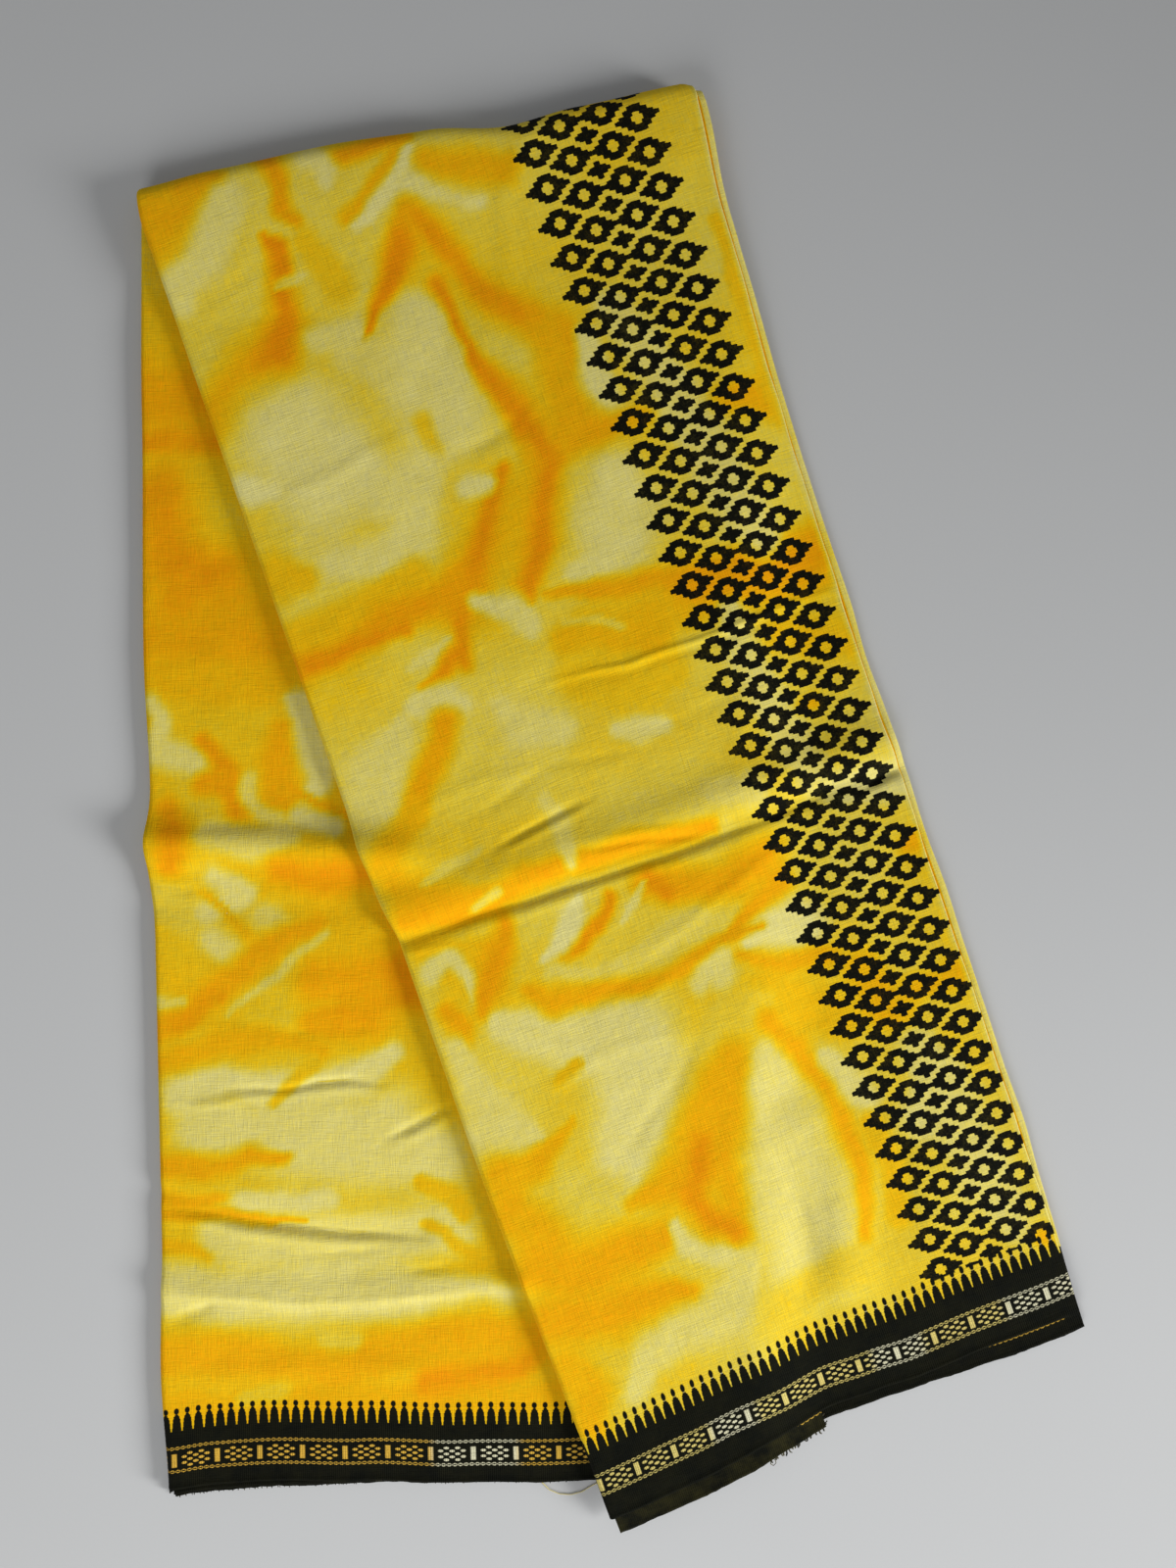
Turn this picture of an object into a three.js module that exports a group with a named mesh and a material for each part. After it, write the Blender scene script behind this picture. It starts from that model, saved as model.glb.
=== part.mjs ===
// A cotton lungi, folded lengthwise into a strip of about eight layers and then folded once,
// slantwise, so that a printed front flap lies turned across a plain rear flap.
// Millimetres, +Z up. The table is z = 0, and +Y runs from the hems to the top fold.
import * as THREE from "three";

// The cloth: each leaf that shows is a wall, and the folds between them share one solid.
const wall = 1;
const gap = 0.3;
const innerFoldsThick = 2.3;
const packetThick = wall + gap + innerFoldsThick + gap + wall;
const borderDepth = 29;

// The top fold: a line across the strip, the reach and height of its round, and how soon it settles.
const topFold = { length: 252, tilt: 10.35, reach: 9, crown: 14, settle: 70 };

// Each flap: its two edge lengths, and how far each edge leans from straight down, in degrees.
const flaps = {
  front: { leftLength: 620.5, leftLean: 19.5, rightLength: 565.5, rightLean: 17.4 },
  rear: { leftLength: 578.5, leftLean: 1.25, rightLength: 610.5, rightLean: 1.45 },
};

// How far the outline strays from those straight lines: outwards at the fold, to +X at the edges.
const foldStray = [
  { along: 0, out: 0 }, { along: 35, out: 2.3 }, { along: 90, out: 4.1 }, { along: 130, out: 2.7 },
  { along: 165, out: -1.9 }, { along: 197, out: 0.9 }, { along: 243, out: 2.6 }, { along: 252, out: 0 },
];
const edgeStray = {
  front: {
    left: [
      { down: 0, right: 0 }, { down: 20, right: -2.5 }, { down: 100, right: -3.6 },
      { down: 325, right: -4.5 }, { down: 354, right: -1.6 }, { down: 450, right: -2.2 },
      { down: 621, right: 1.2 },
    ],
    right: [
      { down: 0, right: 0 }, { down: 60, right: -3.7 }, { down: 150, right: -4.7 },
      { down: 290, right: -3.3 }, { down: 315, right: -1.8 }, { down: 500, right: 1.2 },
      { down: 567, right: 0 },
    ],
  },
  rear: {
    left: [
      { down: 0, right: 0 }, { down: 95, right: -1.7 }, { down: 205, right: -3.3 },
      { down: 262, right: -1.7 }, { down: 290, right: -3.6 }, { down: 330, right: -0.8 },
      { down: 465, right: -0.8 }, { down: 522, right: -2.6 }, { down: 579, right: 0 },
    ],
    right: [{ down: 0, right: 0 }, { down: 611, right: 0 }],
  },
};

// How far each flap's hem falls short of a straight line between its corners.
const hemStray = {
  front: [
    { along: 0, short: 0 }, { along: 48, short: 1.2 }, { along: 96, short: 3.8 },
    { along: 120, short: 5 }, { along: 144, short: 3.4 }, { along: 168, short: 1.5 },
    { along: 192, short: 1.5 }, { along: 240, short: 0 }, { along: 252, short: 0 },
  ],
  rear: [
    { along: 0, short: 4.2 }, { along: 20, short: 5.8 }, { along: 45, short: 6.2 },
    { along: 87, short: 4 }, { along: 130, short: 0.9 }, { along: 174, short: -1 },
    { along: 252, short: -1 },
  ],
};

// The largest folds, in each flap's own frame: millimetres across from its left edge and down
// from the top fold's left end. A positive rise is a ridge and a negative one a trough.
const creases = {
  front: [
    { name: "slope above the cross crease", rise: 2.4, half: 10, path: [[-6, 337], [235, 338]] },
    { name: "cross crease", rise: -1.5, half: 4, path: [[-6, 350], [90, 349], [235, 352]] },
    { name: "slack beside the print", rise: 2.6, half: 13, path: [[141, 488], [146, 520], [136, 552]] },
    { name: "dip of the slack", rise: -0.9, half: 7, path: [[109, 497], [122, 522], [118, 551]] },
  ],
  rear: [
    { name: "cross ridge", rise: 5.4, half: 10, path: [[-6, 287], [40, 289], [130, 296]] },
    { name: "hollow below the ridge", rise: -0.8, half: 7, path: [[0, 316], [90, 318]] },
    { name: "long crease", rise: -0.9, half: 4, path: [[0, 443], [54, 456], [114, 462]] },
    { name: "ridge above the hem", rise: 1.3, half: 6, path: [[0, 485], [60, 489], [158, 485]] },
  ],
};

// Where the front flap leaves the rear one and comes down to the table.
const drop = { start: 8, length: 36 };
const fadeUnderFront = 45;

// How far the folded edges stand out past the printed leaf, and the hems of the hidden layers past
// the hem of the leaf that covers them.
const secondFoldPeek = 3.5;
const flush = [{ along: 0, out: 0 }, { along: 252, out: 0 }];
const hemPeek = {
  secondLeaf: [
    { along: 0, out: 5.1 }, { along: 168, out: 5.6 }, { along: 192, out: 7.7 },
    { along: 216, out: 8.8 }, { along: 252, out: 8.9 },
  ],
  endPanel: [{ along: 0, out: 8.2 }, { along: 115, out: 8 }],
  rearThird: [
    { along: 0, out: 2.8 }, { along: 45, out: 2.8 }, { along: 87, out: 1.5 },
    { along: 174, out: 0 }, { along: 252, out: 0 },
  ],
  rearSecond: [
    { along: 0, out: 4.6 }, { along: 45, out: 4.6 }, { along: 87, out: 2.5 },
    { along: 130, out: 1.4 }, { along: 174, out: 0 }, { along: 252, out: 0 },
  ],
};
const endPanelWidth = 115;

const radians = THREE.MathUtils.degToRad;
const smooth = (t) => THREE.MathUtils.smoothstep(t, 0, 1);

// The value of a table at a place, eased from row to row.
function read(table, key, value, at) {
  let i = 1;
  while (i < table.length - 1 && table[i][key] < at) i += 1;
  const [a, b] = [table[i - 1], table[i]];
  return a[value] + (b[value] - a[value]) * smooth((at - a[key]) / (b[key] - a[key]));
}

const foldStart = new THREE.Vector2(0, 0);
const foldWay = new THREE.Vector2(Math.cos(radians(topFold.tilt)), Math.sin(radians(topFold.tilt)));
const foldOut = new THREE.Vector2(-foldWay.y, foldWay.x);
const downWay = (lean) => new THREE.Vector2(Math.sin(radians(lean)), -Math.cos(radians(lean)));

function foldPoint(along) {
  const out = read(foldStray, "along", "out", along);
  return foldStart.clone().addScaledVector(foldWay, along).addScaledVector(foldOut, out);
}

function hemPoint(side, along) {
  const flap = flaps[side];
  const left = foldStart.clone().addScaledVector(downWay(flap.leftLean), flap.leftLength);
  const right = foldStart.clone().addScaledVector(foldWay, topFold.length);
  right.addScaledVector(downWay(flap.rightLean), flap.rightLength);
  const share = along / topFold.length;
  const lean = THREE.MathUtils.lerp(flap.leftLean, flap.rightLean, share);
  const short = read(hemStray[side], "along", "short", along);
  return left.lerp(right, share).addScaledVector(downWay(lean), -short);
}

const flapLength = (side, along) => hemPoint(side, along).distanceTo(foldPoint(along));

// The place on the table of a point that lies some way along the fold and down a flap from it.
function plan(side, along, down) {
  const from = foldPoint(along);
  const spot = from.clone().lerp(hemPoint(side, along), down / flapLength(side, along));
  const share = along / topFold.length;
  const stray = edgeStray[side];
  spot.x += (1 - share) * read(stray.left, "down", "right", down);
  spot.x += share * read(stray.right, "down", "right", down);
  return spot;
}

// A place on the table in a flap's own frame.
function inFlap(side, spot) {
  const down = downWay(flaps[side].leftLean);
  const across = new THREE.Vector2(-down.y, down.x);
  return [spot.dot(across), spot.dot(down)];
}

function distanceToPath([px, py], path) {
  let nearest = Infinity;
  for (let i = 1; i < path.length; i += 1) {
    const [ax, ay] = path[i - 1];
    const [bx, by] = path[i];
    const along = ((px - ax) * (bx - ax) + (py - ay) * (by - ay)) / ((bx - ax) ** 2 + (by - ay) ** 2);
    const t = THREE.MathUtils.clamp(along, 0, 1);
    nearest = Math.min(nearest, Math.hypot(px - ax - t * (bx - ax), py - ay - t * (by - ay)));
  }
  return nearest;
}

function creaseRise(side, spot) {
  const at = inFlap(side, spot);
  let rise = 0;
  for (const crease of creases[side]) {
    rise += crease.rise * Math.exp(-((distanceToPath(at, crease.path) / crease.half) ** 2));
  }
  return rise;
}

// The rear flap's creases die out under the front flap.
function rearRise(spot) {
  const underFront = inFlap("front", spot)[0];
  return creaseRise("rear", spot) * (1 - smooth(underFront / fadeUnderFront));
}

// How far a place lies outside the rear flap, past its right edge or its hem.
function outsideRear(spot) {
  const beyond = (from, to) => {
    const line = to.clone().sub(from).normalize();
    const away = spot.clone().sub(from);
    return line.y * away.x - line.x * away.y;
  };
  const topRight = foldPoint(topFold.length);
  const bottomRight = hemPoint("rear", topFold.length);
  const bottomLeft = hemPoint("rear", 0);
  return Math.max(-beyond(topRight, bottomRight), -beyond(bottomRight, bottomLeft));
}

// The height of whatever the front flap lies on, plus the lift of the fold's round.
function frontBase(spot, down) {
  const clearance = gap + 0.12 * Math.max(0, rearRise(spot));
  const settled = smooth((down - topFold.reach) / topFold.settle);
  const dropped = smooth((outsideRear(spot) - drop.start) / drop.length) * settled;
  const onRear = packetThick + clearance + rearRise(spot) * settled;
  const lift = topFold.crown - 2 * packetThick - gap;
  return onRear * (1 - dropped) + lift * (1 - settled);
}

// A point of the folded packet: along the fold, at a station, and in from the outer face.
// A station's leg is rear, round or front, and its at is down the flap, or an angle on the round.
function packetPoint(along, station, depth) {
  if (station.leg === "round") {
    const down = topFold.reach - (topFold.reach - depth) * Math.cos(station.at);
    const spot = plan(station.at < 0 ? "rear" : "front", along, down);
    const middle = topFold.crown / 2;
    return new THREE.Vector3(spot.x, spot.y, middle + (middle - depth) * Math.sin(station.at));
  }
  const down = station.at(along);
  const spot = plan(station.leg, along, down);
  const throughFolds = smooth((depth - wall) / (packetThick - 2 * wall));
  let height;
  if (station.leg === "rear") {
    height = depth + rearRise(spot) * throughFolds;
  } else {
    const rise = creaseRise("front", spot) * (1 - throughFolds);
    height = frontBase(spot, down) + packetThick - depth + rise;
  }
  return new THREE.Vector3(spot.x, spot.y, height);
}

// Stations down a flap's body, from the round to where its border starts.
function bodyStations(leg, shares) {
  const end = (along) => flapLength(leg, along) - borderDepth - gap;
  return shares.map((share) => ({
    leg,
    at: (along) => topFold.reach + share * (end(along) - topFold.reach),
  }));
}

// Stations over a border, from its woven start to its selvedge or as far past that as it peeks.
function borderStations(leg, start, peek) {
  const length = (along) => start + read(peek, "along", "out", along);
  return [0, 1 / 3, 2 / 3, 1].map((share) => ({
    leg,
    at: (along) => flapLength(leg, along) - start + share * length(along),
  }));
}

const evenSteps = (from, to, count) =>
  Array.from({ length: count + 1 }, (_, i) => from + ((to - from) * i) / count);
const roundSteps = 8;
const roundStations = evenSteps(-Math.PI / 2, Math.PI / 2, roundSteps)
  .slice(1, -1)
  .map((at) => ({ leg: "round", at }));

// Rows close up where a flap has its creases.
const frontShares = [
  ...evenSteps(0, 0.2, 5), ...evenSteps(0.28, 0.52, 3), ...evenSteps(0.545, 0.645, 8),
  ...evenSteps(0.7, 1, 6),
];
const rearShares = [
  ...evenSteps(0, 0.4, 4), ...evenSteps(0.44, 0.6, 8), ...evenSteps(0.67, 0.74, 1),
  ...evenSteps(0.79, 0.92, 5), 1,
];
const wholeTurn = [
  ...bodyStations("rear", rearShares).reverse(),
  ...roundStations,
  ...bodyStations("front", frontShares),
];

// Every layer has its points at the same columns, so that its faces run parallel to its neighbours'.
const curlRadius = packetThick / 2;
const curlSteps = 3;
const printedEdge = topFold.length - secondFoldPeek;
const plainEdge = topFold.length - secondFoldPeek / 2;
const columns = evenSteps(curlRadius, printedEdge, 13);
const columnsTo = (edge) => [...columns.filter((along) => along < edge), edge];

// The cross-section of a leaf, as pairs of points [along, depth] on its two faces.
// Its left edge curls round to the middle of the packet, and its right edge is left open.

function leafSection(isOuter, rightEdge) {
  const seam = Math.asin(gap / 2 / (curlRadius - wall));
  const faces = [curlRadius, curlRadius - wall];
  const pairs = evenSteps(seam, Math.PI / 2, curlSteps).map((angle) =>
    faces.map((r) => [curlRadius - r * Math.cos(angle), curlRadius - r * Math.sin(angle)]),
  );
  for (const along of columnsTo(rightEdge).slice(1)) {
    pairs.push([[along, 0], [along, wall]]);
  }
  const placed = ([along, depth]) => [along, isOuter ? depth : packetThick - depth];
  return pairs.map((pair) => pair.map(placed));
}

// A flat strip's cross-section, for a hidden layer's border.
function stripSection(rightEdge, depth) {
  return columnsTo(rightEdge).map((along) => [[along, depth], [along, depth + wall]]);
}

// One closed mesh swept through stations: each ring is a section's outer points, from left to
// right, and back along as many inner points. Both faces are split along like diagonals.
function sweep(outers, inners, stations) {
  const outline = [...outers, ...inners.toReversed()];
  const size = outline.length;
  const half = outers.length;
  const rings = stations.map((station) =>
    outline.map(([along, depth]) => packetPoint(along, station, depth)),
  );
  const positions = rings.flat().flatMap((p) => [p.x, p.y, p.z]);
  const index = [];
  const quad = (a, b, c, d) => index.push(a, b, c, a, c, d);
  for (let i = 1; i < rings.length; i += 1) {
    for (let j = 0; j < size; j += 1) {
      const next = (j + 1) % size;
      const [low, high] = [(i - 1) * size, i * size];
      if (j < half) quad(low + j, low + next, high + next, high + j);
      else quad(low + next, high + next, high + j, low + j);
    }
  }
  const last = (rings.length - 1) * size;
  for (let j = 1; j < half; j += 1) {
    const [a, b, c, d] = [j - 1, j, size - 1 - j, size - j];
    quad(d, c, b, a);
    quad(last + a, last + b, last + c, last + d);
  }
  const geometry = new THREE.BufferGeometry();
  geometry.setAttribute("position", new THREE.Float32BufferAttribute(positions, 3));
  geometry.setIndex(signedVolume(positions, index) < 0 ? index.reverse() : index);
  geometry.computeVertexNormals();
  return geometry;
}

function signedVolume(positions, index) {
  const corner = (i) => new THREE.Vector3().fromArray(positions, 3 * index[i]);
  let volume = 0;
  for (let i = 0; i < index.length; i += 3) {
    volume += corner(i).dot(corner(i + 1).cross(corner(i + 2)));
  }
  return volume / 6;
}

function sweptWall(section, stations) {
  return sweep(section.map(([outer]) => outer), section.map(([, inner]) => inner), stations);
}

// The inner folds: a rounded slab under the leaves' curled left edge. At the right, where the
// leaves are open, two folded edges show as lobes with a groove between them.
function innerFolds(stations) {
  const [top, bottom] = [wall + gap, packetThick - wall - gap];
  const half = (bottom - top) / 2;
  const left = wall + gap;
  const edge = topFold.length;
  const lobe = { round: half / 2, groove: half, grooveOpening: 0.1 * half };
  const insets = [
    [left, 0.8 * half],
    [left + 0.4 * half, 0.3 * half],
    ...columnsTo(edge - lobe.round).map((along) => [along, 0]),
    [edge, 0.5 * lobe.round],
    [edge, 1.5 * lobe.round],
    [edge - lobe.groove, half - lobe.grooveOpening],
  ];
  const uppers = insets.map(([along, inset]) => [along, top + inset]);
  const lowers = insets.map(([along, inset]) => [along, bottom - inset]);
  return sweep(uppers, lowers, stations);
}

const dyedCloth = new THREE.MeshStandardMaterial({ color: 0xe6b92a, roughness: 0.9, metalness: 0 });
const blackBorder = new THREE.MeshStandardMaterial({ color: 0x1e1f18, roughness: 0.85, metalness: 0 });

const lungi = new THREE.Group();

function add(name, geometry, material) {
  const mesh = new THREE.Mesh(geometry, material);
  mesh.name = name;
  lungi.add(mesh);
}

// The leaves: the printed one goes round the outside of the top fold and on under the rear flap,
// and the plain one faces up on the rear flap and goes round the inside.
add("printed_leaf", sweptWall(leafSection(true, printedEdge), wholeTurn), dyedCloth);
add("plain_leaf", sweptWall(leafSection(false, plainEdge), wholeTurn), dyedCloth);
add("inner_folds", innerFolds(wholeTurn), dyedCloth);

// The woven borders, one for each stretch that ends at a hem.
const secondDepth = wall + gap;
const thirdDepth = packetThick - 2 * wall - gap;
const outerSection = leafSection(true, printedEdge);
const plainSection = leafSection(false, plainEdge);
const secondSection = stripSection(topFold.length, secondDepth);
const thirdSection = stripSection(topFold.length, thirdDepth);
const endPanelSection = stripSection(endPanelWidth, secondDepth);
const borders = [
  { name: "printed_leaf_border", section: outerSection, leg: "front", peek: flush },
  { name: "end_panel_border", section: endPanelSection, leg: "front", peek: hemPeek.endPanel },
  { name: "second_leaf_border", section: thirdSection, leg: "front", peek: hemPeek.secondLeaf },
  { name: "front_under_border", section: plainSection, leg: "front", peek: flush },
  { name: "plain_leaf_border", section: plainSection, leg: "rear", peek: flush },
  { name: "rear_third_border", section: thirdSection, leg: "rear", peek: hemPeek.rearThird },
  { name: "rear_second_border", section: secondSection, leg: "rear", peek: hemPeek.rearSecond },
  { name: "rear_under_border", section: outerSection, leg: "rear", peek: hemPeek.rearThird },
];
for (const { name, section, leg, peek } of borders) {
  add(name, sweptWall(section, borderStations(leg, borderDepth, peek)), blackBorder);
}

// The origin goes under the middle of the folded packet.
const bounds = new THREE.Box3().setFromObject(lungi);
const middle = bounds.getCenter(new THREE.Vector3());
lungi.children.forEach((mesh) => mesh.position.set(-middle.x, -middle.y, -bounds.min.z));

export default lungi;
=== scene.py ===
# A cotton lungi on a pale table: a long tie-dyed strip, folded lengthwise and then once slantwise,
# with a block-printed front flap, a plain rear flap and a woven black border at each hem.
import math

import bpy
import numpy as np
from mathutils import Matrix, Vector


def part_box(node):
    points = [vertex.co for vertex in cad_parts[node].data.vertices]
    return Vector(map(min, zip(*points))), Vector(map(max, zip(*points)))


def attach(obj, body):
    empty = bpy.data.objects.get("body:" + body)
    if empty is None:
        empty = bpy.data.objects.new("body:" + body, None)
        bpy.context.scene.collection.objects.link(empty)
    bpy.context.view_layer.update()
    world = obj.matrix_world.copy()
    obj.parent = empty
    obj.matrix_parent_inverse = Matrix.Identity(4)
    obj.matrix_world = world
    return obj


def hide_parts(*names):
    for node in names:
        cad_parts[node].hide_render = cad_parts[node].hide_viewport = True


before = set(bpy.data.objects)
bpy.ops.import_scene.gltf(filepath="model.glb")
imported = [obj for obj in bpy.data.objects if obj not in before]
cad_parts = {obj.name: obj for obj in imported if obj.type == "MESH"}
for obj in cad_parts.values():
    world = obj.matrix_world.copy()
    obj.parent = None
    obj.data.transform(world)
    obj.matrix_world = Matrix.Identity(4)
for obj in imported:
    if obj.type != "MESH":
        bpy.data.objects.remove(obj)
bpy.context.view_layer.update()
print("frame loaded")

# Everything below is worked out in millimetres, in the fold's own frame: the top fold's left end
# is (0, 0), +X runs to the right and +Y away from the hems. It is moved to the part at the end.
mm = 0.001
fold = {"length": 252, "tilt": 10.35, "reach": 9, "crown": 14, "settle": 70}
flaps = {
    "front": {"leftLength": 620.5, "leftLean": 19.5, "rightLength": 565.5, "rightLean": 17.4},
    "rear": {"leftLength": 578.5, "leftLean": 1.25, "rightLength": 610.5, "rightLean": 1.45},
}
packet = {
    "thick": 4.9,
    "wall": 1.0,  # the room that the frame gives a leaf
    "gap": 0.3,
    "border": 29.15,
    "cloth": 0.35,
    "secondPeek": 3.5,  # how far the second leaf shows past the printed one at the right
    "dropStart": 8,  # past the rear flap's edge, where the front flap goes down to the table
    "dropLength": 36,
    "fadeUnderFront": 45,  # under the front flap, where the rear flap's large creases end
    "looser": 0.12,  # the front flap lies looser over them, by this share of their rise
    "lowest": 0.5,  # the floor of a trough
}
leafRoom = packet["wall"] + packet["gap"]
curlRadius = packet["thick"] / 2
printedEdge = fold["length"] - packet["secondPeek"]
plainEdge = fold["length"] - packet["secondPeek"] / 2


def smooth(t):
    t = np.clip(t, 0, 1)
    return t * t * (3 - 2 * t)


def eased(rows, at):
    keys = np.array([row[0] for row in rows], float)
    values = np.array([row[1] for row in rows], float)
    i = np.clip(np.searchsorted(keys, at), 1, len(keys) - 1)
    share = smooth((at - keys[i - 1]) / (keys[i] - keys[i - 1]))
    return values[i - 1] + (values[i] - values[i - 1]) * share


# How far the outline strays from straight lines: (place along the line, millimetres out or right).
foldStray = [(0, 0), (35, 2.3), (90, 4.1), (130, 2.7), (165, -1.9), (197, 0.9), (243, 2.6), (252, 0)]
edgeStray = {
    "front": {
        "left": [(0, 0), (20, -2.5), (100, -3.6), (325, -4.5), (354, -1.6), (450, -2.2), (621, 1.2)],
        "right": [(0, 0), (60, -3.7), (150, -4.7), (290, -3.3), (315, -1.8), (500, 1.2), (567, 0)],
    },
    "rear": {
        "left": [
            (0, 0), (95, -1.7), (205, -3.3), (262, -1.7), (290, -3.6),
            (330, -0.8), (465, -0.8), (522, -2.6), (579, 0),
        ],
        "right": [(0, 0), (611, 0)],
    },
}

# How far each flap's hem falls short of a straight line: (along the fold, millimetres short).
hemStray = {
    "front": [(0, 0), (48, 1.2), (96, 3.8), (120, 5), (144, 3.4), (168, 1.5), (192, 1.5), (240, 0), (252, 0)],
    "rear": [(0, 4.2), (20, 5.8), (45, 6.2), (87, 4), (130, 0.9), (174, -1), (252, -1)],
}
# How far the hidden layers' hems stand out past the leaf that covers them, in the same way.
hemPeek = {
    "flush": [(0, 0), (252, 0)],
    "secondLeaf": [(0, 5.1), (168, 5.6), (192, 7.7), (216, 8.8), (252, 8.9)],
    "endPanel": [(0, 8.2), (115, 8)],
    "rearThird": [(0, 2.8), (45, 2.8), (87, 1.5), (174, 0), (252, 0)],
    "rearSecond": [(0, 4.6), (45, 4.6), (87, 2.5), (130, 1.4), (174, 0), (252, 0)],
}

foldTilt = math.radians(fold["tilt"])
foldWay = (math.cos(foldTilt), math.sin(foldTilt))


def downWay(lean):
    return math.sin(math.radians(lean)), -math.cos(math.radians(lean))


def foldPoint(along):
    out = eased(foldStray, along)
    return foldWay[0] * along - foldWay[1] * out, foldWay[1] * along + foldWay[0] * out


def hemPoint(side, along):
    flap = flaps[side]
    leftWay = downWay(flap["leftLean"])
    rightWay = downWay(flap["rightLean"])
    share = along / fold["length"]
    left = [flap["leftLength"] * way for way in leftWay]
    right = [fold["length"] * f + flap["rightLength"] * way for f, way in zip(foldWay, rightWay)]
    lean = np.radians(flap["leftLean"] + (flap["rightLean"] - flap["leftLean"]) * share)
    short = eased(hemStray[side], along)
    x, y = [a + (b - a) * share for a, b in zip(left, right)]
    return x - np.sin(lean) * short, y + np.cos(lean) * short


def flapLength(side, along):
    (hx, hy), (fx, fy) = hemPoint(side, along), foldPoint(along)
    return np.hypot(hx - fx, hy - fy)


def plan(side, along, down):
    (hx, hy), (fx, fy) = hemPoint(side, along), foldPoint(along)
    share = down / flapLength(side, along)
    across = along / fold["length"]
    stray = edgeStray[side]
    x = fx + (hx - fx) * share
    x = x + (1 - across) * eased(stray["left"], down) + across * eased(stray["right"], down)
    return x, fy + (hy - fy) * share


# A place on the table, as millimetres across and down in a flap's own frame.
def inFlap(side, x, y):
    wx, wy = downWay(flaps[side]["leftLean"])
    return -x * wy + y * wx, x * wx + y * wy


def outsideRear(x, y):
    def beyond(start, end):
        lineX, lineY = end[0] - start[0], end[1] - start[1]
        length = math.hypot(lineX, lineY)
        return (lineY * (x - start[0]) - lineX * (y - start[1])) / length

    topRight = foldPoint(np.array(float(fold["length"])))
    bottomRight = hemPoint("rear", fold["length"])
    bottomLeft = hemPoint("rear", 0)
    return np.maximum(-beyond(topRight, bottomRight), -beyond(bottomRight, bottomLeft))


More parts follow.
